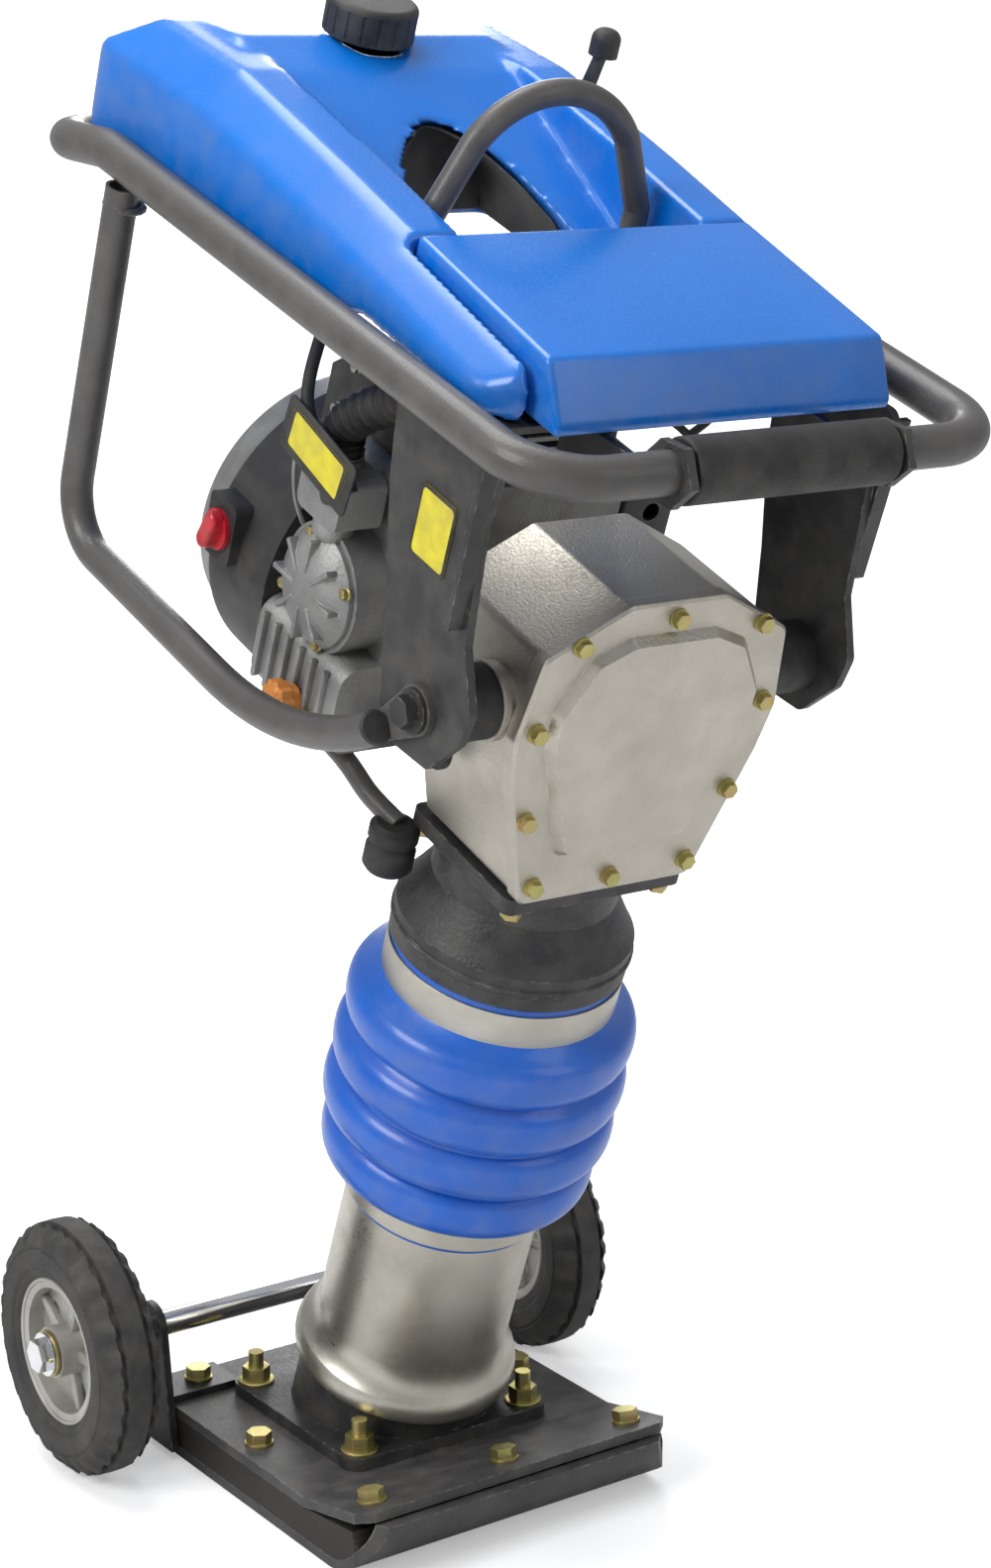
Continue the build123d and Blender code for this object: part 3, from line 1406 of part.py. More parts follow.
with BuildPart() as filter_cover:
    with BuildSketch(side(BOX_Y)):
        with BuildLine():
            Polyline((-97, 990), (56, 978), (80, 944), (78, 933), (-97, 933), close=True)
        make_face()
    extrude(amount=2 * BOX_Y)
    fillet(edges().filter_by(Axis.Y).sort_by(LEG_AXIS)[-3:], 8)
    with BuildSketch(side(BOX_Y - 4)):
        with BuildLine():
            Polyline((-93, 984), (54, 973), (75, 944), (74, 930), (-93, 930), close=True)
        make_face()
    extrude(amount=2 * BOX_Y - 8, mode=Mode.SUBTRACT)
filter_cover.part.label = "filter_cover"
export_step(filter_cover.part, "parts/filter_cover.step")

with BuildPart() as filter_element:
    with BuildSketch(level(934)):
        with Locations((-8, 0)):
            RectangleRounded(130, 200, 12)
    extrude(amount=28)
filter_element.part.label = "filter_element"
export_step(filter_element.part, "parts/filter_element.step")

HOOP_U, HOOP_Y, HOOP_TOP = -154, 84, 1058
HOOP_R = 9
HOOP_FOOT = 915

with BuildPart() as lifting_hoop:
    with BuildLine(facing(HOOP_U)) as hoop_path:
        Line((HOOP_Y + 2, HOOP_FOOT), (HOOP_Y, 975))
        Line((HOOP_Y, 975), (HOOP_Y - 22, 1024))
        ThreePointArc((HOOP_Y - 22, 1024), (0, HOOP_TOP), (22 - HOOP_Y, 1024))
        Line((22 - HOOP_Y, 1024), (-HOOP_Y, 975))
        Line((-HOOP_Y, 975), (-HOOP_Y - 2, HOOP_FOOT))
    with BuildSketch(across_start(hoop_path.line)):
        Circle(HOOP_R)
    sweep(transition=Transition.ROUND)
lifting_hoop.part.label = "lifting_hoop"
export_step(lifting_hoop.part, "parts/lifting_hoop.step")

# ================================================================ throttle, hoses and valve
with BuildPart() as throttle_lever:
    with BuildSketch(side(HANDLE_Y + 3)):
        with Locations((LEVER_U, CLAMP_TOP + 15)):
            Circle(9)
        with BuildLine():
            Polyline(
                (LEVER_U - 6, CLAMP_TOP + 17),
                (LEVER_U + 6, CLAMP_TOP + 12),
                (LEVER_U + 20, 1012),
                (LEVER_U + 13, 1014),
                close=True,
            )
        make_face()
    extrude(amount=6)
    with BuildSketch(level(1008)):
        with Locations((LEVER_U + 17, HANDLE_Y)):
            Circle(11)
    extrude(amount=20)
    fillet(edges().filter_by(GeomType.CIRCLE).group_by(LEG_AXIS)[-1], 8)
throttle_lever.part.label = "throttle_lever"
export_step(throttle_lever.part, "parts/throttle_lever.step")

with BuildPart() as throttle_cable:
    with BuildLine() as cable_path:
        Spline(
            spot(LEVER_U + 22, HANDLE_Y + 18, 948),
            spot(-300, HANDLE_Y + 20, 930),
            spot(-150, HANDLE_Y + 20, 918),
            spot(-96, 168, 880),
            spot(-84, 120, 835),
        )
    with BuildSketch(across_start(cable_path.line)):
        Circle(3)
    sweep()
throttle_cable.part.label = "throttle_cable"
export_step(throttle_cable.part, "parts/throttle_cable.step")

VALVE_U, VALVE_Y = -235, -112

with BuildPart() as fuel_valve:
    with BuildSketch(level(TANK_LOW - 14)):
        with Locations((VALVE_U, VALVE_Y)):
            Circle(9)
            with Locations((0, -12)):
                RectangleRounded(8, 26, 3)
    extrude(amount=6)
fuel_valve.part.label = "fuel_valve"
export_step(fuel_valve.part, "parts/fuel_valve.step")

with BuildPart() as fuel_hose:
    with BuildLine() as hose_path:
        Spline(
            spot(VALVE_U + 26, VALVE_Y, TANK_LOW - 4),
            spot(VALVE_U + 30, VALVE_Y - 4, 860),
            spot(CARB_U - 20, VALVE_Y - 20, 820),
            spot(CARB_U - 10, -118, CARB_W + 32),
        )
    with BuildSketch(across_start(hose_path.line)):
        Circle(4.5)
        Circle(2.5, mode=Mode.SUBTRACT)
    sweep()
fuel_hose.part.label = "fuel_hose"
export_step(fuel_hose.part, "parts/fuel_hose.step")
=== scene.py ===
"""The looks of the jumping jack rammer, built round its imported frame.

World axes: +X to the toe, +Y to the operator's left, +Z up.  Most pieces stand on the leaning leg and
are placed in leg coordinates: u forward, y left and w up the leg.  Every size is in metres.
"""

import json
from math import atan2, cos, pi, radians, sin, tau

import bmesh
import bpy
from mathutils import Matrix, Vector
from mathutils.bvhtree import BVHTree


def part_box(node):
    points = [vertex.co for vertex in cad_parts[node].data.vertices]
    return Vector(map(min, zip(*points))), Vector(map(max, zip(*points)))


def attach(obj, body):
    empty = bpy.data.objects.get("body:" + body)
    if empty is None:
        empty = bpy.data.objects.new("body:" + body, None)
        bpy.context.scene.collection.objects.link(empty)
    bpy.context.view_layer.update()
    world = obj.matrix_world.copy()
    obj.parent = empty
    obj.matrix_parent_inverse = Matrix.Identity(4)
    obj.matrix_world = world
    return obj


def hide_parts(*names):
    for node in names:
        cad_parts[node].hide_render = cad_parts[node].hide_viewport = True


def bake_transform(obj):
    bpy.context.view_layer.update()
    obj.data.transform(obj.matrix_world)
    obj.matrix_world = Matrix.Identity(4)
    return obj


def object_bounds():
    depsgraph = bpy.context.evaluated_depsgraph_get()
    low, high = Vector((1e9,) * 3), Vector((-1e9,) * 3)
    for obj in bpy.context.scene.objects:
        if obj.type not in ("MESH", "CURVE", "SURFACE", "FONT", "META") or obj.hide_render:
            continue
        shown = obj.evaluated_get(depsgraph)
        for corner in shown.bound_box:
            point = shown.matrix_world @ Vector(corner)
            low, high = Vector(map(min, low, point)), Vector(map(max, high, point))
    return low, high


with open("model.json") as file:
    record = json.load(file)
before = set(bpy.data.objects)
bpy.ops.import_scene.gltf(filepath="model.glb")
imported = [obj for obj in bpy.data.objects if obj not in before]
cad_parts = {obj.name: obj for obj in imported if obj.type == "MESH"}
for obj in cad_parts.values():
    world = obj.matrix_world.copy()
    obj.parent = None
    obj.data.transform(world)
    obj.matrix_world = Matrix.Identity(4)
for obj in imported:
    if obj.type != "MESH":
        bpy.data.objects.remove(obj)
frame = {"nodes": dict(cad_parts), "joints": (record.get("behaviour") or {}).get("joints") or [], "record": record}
cad_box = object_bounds()

NODES = frame["nodes"]
JOINTS = {joint["name"]: joint for joint in frame["joints"]}

# ---------------------------------------------------------------- the leg's own directions
UP = Vector(JOINTS["leg_travel"]["axis"]).normalized()
LEFT = Vector((0, 1, 0))
FWD = LEFT.cross(UP)
LEG = Matrix((FWD, LEFT, UP)).transposed()
LEAN = UP.angle(Vector((0, 0, 1)))


def spot(u, y, w):
    """The point u forward, y left and w up the leg."""
    return LEG @ Vector((u, y, w))


def leg_box(node):
    """Lowest and highest corner of a CAD node in leg coordinates."""
    back = LEG.transposed()
    points = [back @ vertex.co for vertex in NODES[node].data.vertices]
    low = Vector([min(p[i] for p in points) for i in range(3)])
    high = Vector([max(p[i] for p in points) for i in range(3)])
    return low, high


def stand(origin, x, z):
    """A place whose local x and z point along the given directions."""
    y = z.cross(x)
    matrix = Matrix((x, y, z)).transposed().to_4x4()
    matrix.translation = origin
    return matrix


def rising(u, y, w):
    """A place on the leg with local z up the leg."""
    return stand(spot(u, y, w), FWD, UP)


def forward(u, y, w):
    """A place on the leg with local z forward, x to the left and y up the leg."""
    return stand(spot(u, y, w), LEFT, FWD)


def backward(u, y, w):
    """A place on the leg with local z rearward, x to the right and y up the leg."""
    return stand(spot(u, y, w), -LEFT, -FWD)


def rightward(u, y, w):
    """A place on the leg with local z to the right, x forward and y up the leg."""
    return stand(spot(u, y, w), FWD, -LEFT)


def leftward(u, y, w):
    """A place on the leg with local z to the left, x rearward and y up the leg."""
    return stand(spot(u, y, w), -FWD, LEFT)


# ---------------------------------------------------------------- material nodes
def hue(red, green, blue):
    """A linear colour from screen values between 0 and 255."""
    return tuple(((v / 255 + 0.055) / 1.055) ** 2.4 if v > 10 else v / 3294 for v in (red, green, blue))


def put(tree, kind, inputs=None, **settings):
    """Adds a node; an input is a plain value or another node's output."""
    node = tree.nodes.new(kind)
    for key, value in settings.items():
        setattr(node, key, value)
    for key, value in (inputs or {}).items():
        if isinstance(value, bpy.types.NodeSocket):
            tree.links.new(value, node.inputs[key])
        else:
            node.inputs[key].default_value = value
    return node


def spread(tree, value, low, high, start=0.0, end=1.0):
    """Maps a value from start..end to low..high."""
    node = put(
        tree,
        "ShaderNodeMapRange",
        {"Value": value, "From Min": start, "From Max": end, "To Min": low, "To Max": high},
    )
    return node.outputs[0]


def noise(tree, where, scale, detail=4.0, low=0.3, high=0.7):
    """Cloudy noise, with its values between low and high spread to the range 0 to 1."""
    cloud = put(tree, "ShaderNodeTexNoise", {"Vector": where, "Scale": scale, "Detail": detail})
    return spread(tree, cloud.outputs[0], 0.0, 1.0, low, high)


def times(tree, a, b):
    """The product of two values."""
    return put(tree, "ShaderNodeMath", {0: a, 1: b}, operation="MULTIPLY").outputs[0]


def opaque(colour):
    """A colour input: a socket as it is, a plain colour with its alpha."""
    return colour if isinstance(colour, bpy.types.NodeSocket) else (*colour, 1)


def mix(tree, share, a, b):
    """Colour a where share is 0 and colour b where it is 1."""
    inputs = {0: share, 6: opaque(a), 7: opaque(b)}
    return put(tree, "ShaderNodeMix", inputs, data_type="RGBA").outputs[2]


def leg_coordinates(tree, stretch):
    """Coordinates that turn with the leg and are stretched by a factor along u, y and w."""
    where = put(tree, "ShaderNodeTexCoord").outputs["Object"]
    turned = put(tree, "ShaderNodeMapping", {"Vector": where}, vector_type="TEXTURE")
    turned.inputs["Rotation"].default_value = (0, LEAN, 0)
    turned.inputs["Scale"].default_value = tuple(1 / s for s in stretch)
    return turned.outputs[0]


def edge_mask(tree, radius):
    """1 on convex edges and 0 on flats, from the angle between the true and the rounded normal."""
    rounded = put(tree, "ShaderNodeBevel", {"Radius": radius}, samples=4).outputs[0]
    true = put(tree, "ShaderNodeNewGeometry").outputs["Normal"]
    match = put(tree, "ShaderNodeVectorMath", {0: rounded, 1: true}, operation="DOT_PRODUCT")
    return spread(tree, match.outputs["Value"], 0.0, 1.0, 0.995, 0.9)


WORN_WIDTH = 0.0014           # how far from an edge paint is rubbed off
SIDE_DUST = 0.15              # dust that clings to upright faces
DUST = hue(150, 143, 130)
COAT_ROUGHNESS = 0.12


def surface(
    name,
    colour,
    tint,
    metal=0.0,
    rough=0.4,
    vary=0.08,
    mottle=22.0,
    grain=700.0,
    depth=0.00006,
    stretch=(1, 1, 1),
    rounding=0.0009,
    worn=None,
    wear=0.0,
    coat=0.0,
    dust=0.0,
):
    """The common finish: two tones in clouds, grain in roughness and relief, worn edges and dust.

    rounding is the radius that sharp edges are shaded with, and wear how much of them shows worn.
    """
    material = bpy.data.materials.new(name)
    material.use_nodes = True
    tree = material.node_tree
    bsdf = tree.nodes["Principled BSDF"]
    where = leg_coordinates(tree, (1, 1, 1))
    drawn = leg_coordinates(tree, stretch)
    clouds = noise(tree, where, mottle, 6.0)
    specks = noise(tree, drawn, grain, 3.0)
    shade = mix(tree, clouds, colour, tint)
    roughness = spread(tree, specks, rough - vary / 2, rough + vary / 2)
    smears = noise(tree, where, mottle * 0.35, 5.0, 0.35, 0.75)
    roughness = put(
        tree, "ShaderNodeMath", {0: roughness, 1: times(tree, smears, vary)}, operation="ADD"
    ).outputs[0]
    metallic = metal
    if wear > 0:
        patches = noise(tree, where, 130.0, 8.0, 0.62 - wear * 0.3, 0.68)
        rubbed = times(tree, edge_mask(tree, WORN_WIDTH), patches)
        shade = mix(tree, rubbed, shade, worn)
        metallic = spread(tree, rubbed, metal, 0.85)
    if dust > 0:
        facing_up = put(
            tree, "ShaderNodeSeparateXYZ", {0: put(tree, "ShaderNodeNewGeometry").outputs["Normal"]}
        ).outputs["Z"]
        settled = spread(tree, facing_up, SIDE_DUST, dust, 0.0, 0.9)
        lying = times(tree, settled, noise(tree, where, 45.0, 9.0, 0.38, 0.72))
        shade = mix(tree, lying, shade, DUST)
        duller = {0: roughness, 1: times(tree, lying, 0.4)}
        roughness = put(tree, "ShaderNodeMath", duller, operation="ADD", use_clamp=True).outputs[0]
    rounded = put(tree, "ShaderNodeBevel", {"Radius": rounding}, samples=4).outputs[0]
    relief = put(
        tree, "ShaderNodeBump", {"Strength": 1.0, "Distance": depth, "Height": specks, "Normal": rounded}
    )
    tree.links.new(shade, bsdf.inputs["Base Color"])
    tree.links.new(roughness, bsdf.inputs["Roughness"])
    tree.links.new(relief.outputs[0], bsdf.inputs["Normal"])
    if isinstance(metallic, bpy.types.NodeSocket):
        tree.links.new(metallic, bsdf.inputs["Metallic"])
    else:
        bsdf.inputs["Metallic"].default_value = metallic
    bsdf.inputs["Coat Weight"].default_value = coat
    bsdf.inputs["Coat Roughness"].default_value = COAT_ROUGHNESS
    return material


def plywood(name):
    """Laminated wood, oiled nearly black: glue lines between its layers, with long pores."""
    material = surface(
        name, hue(50, 44, 38), hue(38, 34, 30), rough=0.6, grain=260.0, stretch=(0.1, 0.1, 3.0)
    )
    tree = material.node_tree
    bsdf = tree.nodes["Principled BSDF"]
    base = bsdf.inputs["Base Color"].links[0].from_socket
    where = put(tree, "ShaderNodeTexCoord").outputs["Object"]
    layers = put(
        tree, "ShaderNodeTexWave", {"Vector": where, "Scale": 75.0, "Distortion": 0.6}, bands_direction="Z"
    )
    line = spread(tree, layers.outputs[0], 0.0, 0.7, 0.7, 1.0)
    tree.links.new(mix(tree, line, base, hue(22, 19, 16)), bsdf.inputs["Base Color"])
    return material


def passivated(name):
    """Yellow zinc plate: gold with faint green and rose patches."""
    material = surface(
        name, hue(192, 182, 118), hue(168, 164, 104), metal=0.95, rough=0.34, vary=0.14, mottle=60.0,
        grain=400.0,
    )
    tree = material.node_tree
    bsdf = tree.nodes["Principled BSDF"]
    base = bsdf.inputs["Base Color"].links[0].from_socket
    patches = noise(tree, leg_coordinates(tree, (1, 1, 1)), 95.0, 2.0, 0.45, 0.7)
    blushed = mix(tree, times(tree, patches, 0.45), base, hue(206, 158, 128))
    tree.links.new(blushed, bsdf.inputs["Base Color"])
    return material


STEEL_TONE = hue(190, 188, 182)
BARE = hue(168, 166, 160)

PAINT = {
    "foot_paint": surface(
        "foot_paint", hue(62, 61, 62), hue(54, 53, 55), rough=0.45, vary=0.16, grain=500.0, depth=0.0001,
        worn=BARE, wear=0.6, dust=0.2,
    ),
    "wood": plywood("wood"),
    "casting_dark": surface(
        "casting_dark", hue(42, 42, 44), hue(36, 36, 38), rough=0.44, vary=0.12, grain=420.0, depth=0.00022,
        worn=BARE, wear=0.3, dust=0.06,
    ),
    "steel_silver": surface(
        "steel_silver", hue(204, 200, 188), hue(176, 172, 160), metal=1.0, rough=0.3, vary=0.18, mottle=14.0,
        grain=180.0, depth=0.00002, stretch=(1, 1, 9), dust=0.12,
    ),
    "zinc": passivated("zinc"),
    "steel": surface(
        "steel", STEEL_TONE, hue(160, 160, 158), metal=1.0, rough=0.32, vary=0.16, grain=260.0,
        depth=0.00003, stretch=(6, 1, 1),
    ),
    "chrome": surface(
        "chrome", hue(232, 232, 234), hue(214, 214, 216), metal=1.0, rough=0.09, vary=0.08, grain=300.0,
        depth=0.00001, stretch=(8, 1, 8),
    ),
    "rim": surface(
        "rim", hue(186, 184, 178), hue(160, 158, 152), metal=0.45, rough=0.4, vary=0.14, mottle=40.0,
        depth=0.00009, worn=hue(120, 112, 100), wear=0.35, dust=0.3,
    ),
    "tyre": surface(
        "tyre", hue(50, 49, 48), hue(43, 42, 42), rough=0.66, vary=0.14, mottle=45.0, grain=900.0,
        depth=0.00015, dust=0.22,
    ),
    "bellows": surface(
        "bellows", hue(0, 96, 200), hue(0, 88, 190), rough=0.3, vary=0.12, mottle=30.0, grain=800.0,
        depth=0.00005, coat=0.35, dust=0.05,
    ),
    "bronze": surface(
        "bronze", hue(186, 146, 84), hue(150, 112, 60), metal=1.0, rough=0.34, vary=0.16, grain=260.0,
        depth=0.00003,
    ),
    "aluminium": surface(
        "aluminium", hue(196, 191, 180), hue(184, 179, 168), metal=0.9, rough=0.36, vary=0.14, mottle=18.0,
        grain=520.0, depth=0.00014, worn=hue(222, 220, 214), wear=0.3, dust=0.04,
    ),
    "engine_alloy": surface(
        "engine_alloy", hue(172, 172, 170), hue(142, 142, 142), metal=0.8, rough=0.46, vary=0.18, mottle=35.0,
        grain=600.0, depth=0.0002, worn=hue(214, 214, 210), wear=0.3, dust=0.1,
    ),
    "black_paint": surface(
        "black_paint", hue(32, 32, 33), hue(27, 27, 28), rough=0.38, vary=0.14, grain=600.0, depth=0.00008,
        worn=BARE, wear=0.4, dust=0.05,
    ),
    "tube_paint": surface(
        "tube_paint", hue(80, 77, 75), hue(73, 71, 70), rough=0.34, vary=0.1, mottle=16.0, grain=900.0,
        depth=0.00012, worn=BARE, wear=0.3, coat=0.15, dust=0.02,
    ),
    "plate_paint": surface(
        "plate_paint", hue(46, 46, 48), hue(40, 40, 42), rough=0.4, vary=0.12, grain=800.0, depth=0.0001,
        worn=BARE, wear=0.4, dust=0.04,
    ),
    "rubber": surface(
        "rubber", hue(33, 33, 34), hue(28, 28, 29), rough=0.58, vary=0.14, grain=700.0, depth=0.0001,
        dust=0.04,
    ),
    "blue_plastic": surface(
        "blue_plastic", hue(0, 112, 208), hue(0, 106, 200), rough=0.22, vary=0.1, mottle=9.0, grain=1100.0,
        depth=0.00002, rounding=0.002, coat=0.25, dust=0.01,
    ),
    "black_plastic": surface(
        "black_plastic", hue(44, 44, 46), hue(32, 32, 34), rough=0.5, vary=0.12, grain=1300.0, depth=0.00012,
        worn=hue(110, 110, 110), wear=0.2, dust=0.04,
    ),
    "red_plastic": surface(
        "red_plastic", hue(206, 26, 44), hue(176, 16, 34), rough=0.3, vary=0.12, mottle=60.0, coat=0.4,
        dust=0.1,
    ),
    "filter_foam": surface(
        "filter_foam", hue(92, 88, 78), hue(58, 54, 48), rough=0.95, vary=0.05, mottle=240.0, grain=420.0,
        depth=0.0012,
    ),
    "orange_plastic": surface(
        "orange_plastic", hue(222, 142, 52), hue(196, 112, 34), rough=0.34, vary=0.12, mottle=60.0,
        coat=0.3, dust=0.15,
    ),
    "mark_yellow": surface(
        "mark_yellow", hue(226, 214, 44), hue(206, 190, 38), rough=0.34, vary=0.14, mottle=90.0, coat=0.3,
        dust=0.2,
    ),
    "fuel_line": surface(
        "fuel_line", hue(58, 52, 44), hue(40, 36, 32), rough=0.4, vary=0.14, mottle=80.0, coat=0.15
    ),
}
PAINT["floor"] = surface(
    "floor", hue(238, 238, 238), hue(236, 236, 236), rough=0.8, vary=0.05, mottle=3.0, grain=90.0,
    depth=0.0001,
)


SLOT_OF = {part["node"]: part["material_slot"] for part in frame["record"]["subparts"]}


def paint_frame():
    """Gives every CAD node the finish of its slot in the record."""
    for node, slot in SLOT_OF.items():
        mesh = NODES[node].data
        mesh.materials.clear()
        mesh.materials.append(PAINT[slot])


# ---------------------------------------------------------------- mesh helpers
SMOOTH_TO = radians(38)        # edges sharper than this are shaded sharp
WELD = 0.000001               # points nearer than this become one
STILL = Matrix.Identity(4)    # the place of a shape that is already where it belongs


def piece(name, bm, finish, body, place=None):
    """Makes an object from a bmesh, puts it in place, paints it and makes it ride on a body."""
    bmesh.ops.remove_doubles(bm, verts=bm.verts, dist=WELD)
    bmesh.ops.recalc_face_normals(bm, faces=bm.faces)
    if place is not None:
        bm.transform(place)
    mesh = bpy.data.meshes.new(name)
    bm.to_mesh(mesh)
    bm.free()
    mesh.shade_smooth()
    mesh.set_sharp_from_angle(angle=SMOOTH_TO)
    mesh.materials.append(PAINT[finish])
    obj = bpy.data.objects.new(name, mesh)
    bpy.context.scene.collection.objects.link(obj)
    if body:
        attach(obj, body)
    return obj


def merged(parts):
    """One bmesh from pairs of a bmesh and its place."""
    whole = bmesh.new()
    for bm, place in parts:
        bm.transform(place)
        mesh = bpy.data.meshes.new("part")
        bm.to_mesh(mesh)
        bm.free()
        whole.from_mesh(mesh)
        bpy.data.meshes.remove(mesh)
    return whole


def lathe(profile, steps=48, pull=None):
    """Turns a closed outline of (radius, height) points round local z.

    pull(angle, radius, height) may return another radius, for lobes and tread.
    """
    bm = bmesh.new()
    rings = []
    for step in range(steps):
        angle = tau * step / steps
        ring = []
        for radius, height in profile:
            r = pull(angle, radius, height) if pull else radius
            ring.append(bm.verts.new((r * cos(angle), r * sin(angle), height)))
        rings.append(ring)
    count = len(profile)
    for step in range(steps):
        near, far = rings[step], rings[(step + 1) % steps]
        for i in range(count):
            k = (i + 1) % count
            if profile[i][0] > WELD or profile[k][0] > WELD:
                bm.faces.new((near[i], near[k], far[k], far[i]))
    bmesh.ops.remove_doubles(bm, verts=bm.verts, dist=WELD)
    bmesh.ops.dissolve_degenerate(bm, dist=0.0000001, edges=bm.edges)
    return bm


def turned(outline):
    """A lathe profile closed along the axis, from the outer (radius, height) points."""
    return [(0.0, outline[0][1])] + list(outline) + [(0.0, outline[-1][1])]


def sweep(path, radius, sides=12, waves=0, swell=0.0):
    """A closed round bar along a list of points; waves and swell make it corrugated."""
    bm = bmesh.new()
    rings = []
    last = len(path) - 1
    normal = (path[1] - path[0]).orthogonal().normalized()
    for index, point in enumerate(path):
        tangent = (path[min(index + 1, last)] - path[max(index - 1, 0)]).normalized()
        normal = (normal - tangent * normal.dot(tangent)).normalized()
        side = tangent.cross(normal)
        r = radius + swell * cos(tau * waves * index / last)
        rings.append(
            [
                bm.verts.new(point + r * (normal * cos(tau * k / sides) + side * sin(tau * k / sides)))
                for k in range(sides)
            ]
        )
    for near, far in zip(rings, rings[1:]):
        for k in range(sides):
            m = (k + 1) % sides
            bm.faces.new((near[k], near[m], far[m], far[k]))
    bm.faces.new(rings[0])
    bm.faces.new(rings[-1])
    return bm


def curve_points(knots, steps=12):
    """Points of a smooth curve through the knots."""
    ends = [knots[0] * 2 - knots[1]] + list(knots) + [knots[-1] * 2 - knots[-2]]
    points = []
    for a, b, c, d in zip(ends, ends[1:], ends[2:], ends[3:]):
        for step in range(steps):
            t = step / steps
            points.append(
                0.5
                * (
                    b * 2
                    + (c - a) * t
                    + (a * 2 - b * 5 + c * 4 - d) * t**2
                    + (b * 3 - a - c * 3 + d) * t**3
                )
            )
    points.append(knots[-1])
    return points


def slab(outline, low, high, round_off=0.001, segments=3):
    """A plate with the given outline of local (x, y) points between two heights, edges rounded."""
    bm = bmesh.new()
    bottom = [bm.verts.new((x, y, low)) for x, y in outline]
    top = [bm.verts.new((x, y, high)) for x, y in outline]
    bm.faces.new(bottom)
    bm.faces.new(top)
    for i in range(len(outline)):
        k = (i + 1) % len(outline)
        bm.faces.new((bottom[i], bottom[k], top[k], top[i]))
    bmesh.ops.recalc_face_normals(bm, faces=bm.faces)
    if round_off:
        bmesh.ops.bevel(
            bm,
            geom=bm.edges,
            offset=round_off,
            segments=segments,
            affect="EDGES",
            profile=0.5,
            clamp_overlap=True,
        )
    return bm


def rounded_rectangle(width, height, corner, steps=6):
    """Outline of a rectangle with round corners, centred on the origin."""
    points = []
    for quarter, (sx, sy) in enumerate(((1, 1), (-1, 1), (-1, -1), (1, -1))):
        cx, cy = sx * (width / 2 - corner), sy * (height / 2 - corner)
        for step in range(steps + 1):
            angle = pi / 2 * (quarter + step / steps)
            points.append((cx + corner * cos(angle), cy + corner * sin(angle)))
    return points


def flange_bolt(across, height):
    """A hexagon head on a washer face, with a chamfered top."""
    corner = across / 2 / cos(pi / 6)
    hexagon = [(corner * cos(pi / 3 * i), corner * sin(pi / 3 * i)) for i in range(6)]
    head = slab(hexagon, height * 0.25, height, across * 0.05, 2)
    skirt = lathe(
        turned([(across * 0.68, 0), (across * 0.68, height * 0.12), (across * 0.56, height * 0.3)]), 24
    )
    return merged([(head, STILL), (skirt, STILL)])


def bolts(name, places, across, height, body, finish="zinc"):
    """The same bolt head at several places."""
    return piece(name, merged([(flange_bolt(across, height), place) for place in places]), finish, body)


def ring_bead(place, radius, thick, sides=10, steps=40, ripple=0.0):
    """A round bead, such as a weld, round local z: its shape and its place."""
    angles = [tau * i / sides for i in range(sides)]
    profile = [(radius + thick * cos(a), thick * sin(a)) for a in angles]

    def pull(angle, r, height):
        return r + ripple * sin(angle * 18)

    return lathe(profile, steps, pull), place


def around(axis_place, radius, count, start=0.0):
    """Places evenly spaced on a circle about local z of a place."""
    angles = [start + tau * i / count for i in range(count)]
    return [axis_place @ Matrix.Translation((radius * cos(a), radius * sin(a), 0)) for a in angles]


# ---------------------------------------------------------------- leg
def bellows_skin():
    """The rubber bellows: four fat folds between two cuffs, hollow."""
    wall = 0.003
    folds, pitch = 4, 0.040
    low, high = leg_box("bellows")
    lower_cuff = leg_box("lower_clamp")[1].y - 0.0026
    upper_cuff = leg_box("upper_clamp")[1].y - 0.0026
    widest = high.y
    first = low.z + 0.048
    crests = [widest - 0.007, widest - 0.001, widest - 0.001, widest - 0.003]
    valley = 0.016
    steps, reach, squareness = 9, 9.6, 2.3
    outer = [
        (lower_cuff, low.z),
        (lower_cuff + 0.0006, low.z + 0.002),
        (lower_cuff + 0.0006, low.z + 0.021),
    ]
    for i in range(folds):
        centre = first + pitch * i
        base = crests[i] - valley
        for step in range(-steps, steps + 1):
            t = step / reach
            swell = (1 - abs(t) ** squareness) ** (1 / squareness)
            outer.append((base + valley * swell, centre + t * pitch / 2))
    top_fold = first + pitch * (folds - 0.5)
    outer += [
        (upper_cuff + 0.006, top_fold + 0.003),
        (upper_cuff + 0.0012, top_fold + 0.008),
        (upper_cuff + 0.0006, high.z - 0.002),
        (upper_cuff, high.z),
    ]
    inner = [(r - wall, w) for r, w in reversed(outer)]
    skin = piece("bellows_skin", lathe(outer + inner, 96), "bellows", None, rising(0, 0, 0))
    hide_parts("bellows")
    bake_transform(skin)


def clamp_screws():
    """The worm thread's slots on the two bellows clamps."""
    count, first_angle, arc = 14, radians(150), radians(60)
    for node, body in (("lower_clamp", "leg"), ("upper_clamp", "upper")):
        low, high = leg_box(node)
        middle = (low.z + high.z) / 2
        inner, outer, half = high.y - 0.0002, high.y + 0.0004, 0.0008
        outline = [(inner, -half), (outer, -half), (outer, half), (inner, half)]
        slots = []
        for i in range(count):
            angle = first_angle + arc * i / (count - 1)
            place = rising(0, 0, middle) @ Matrix.Rotation(angle, 4, "Z")
            slots.append((slab(outline, -0.004, 0.004, 0.0002, 1), place))
        piece(f"{node}_thread", merged(slots), "steel", body)


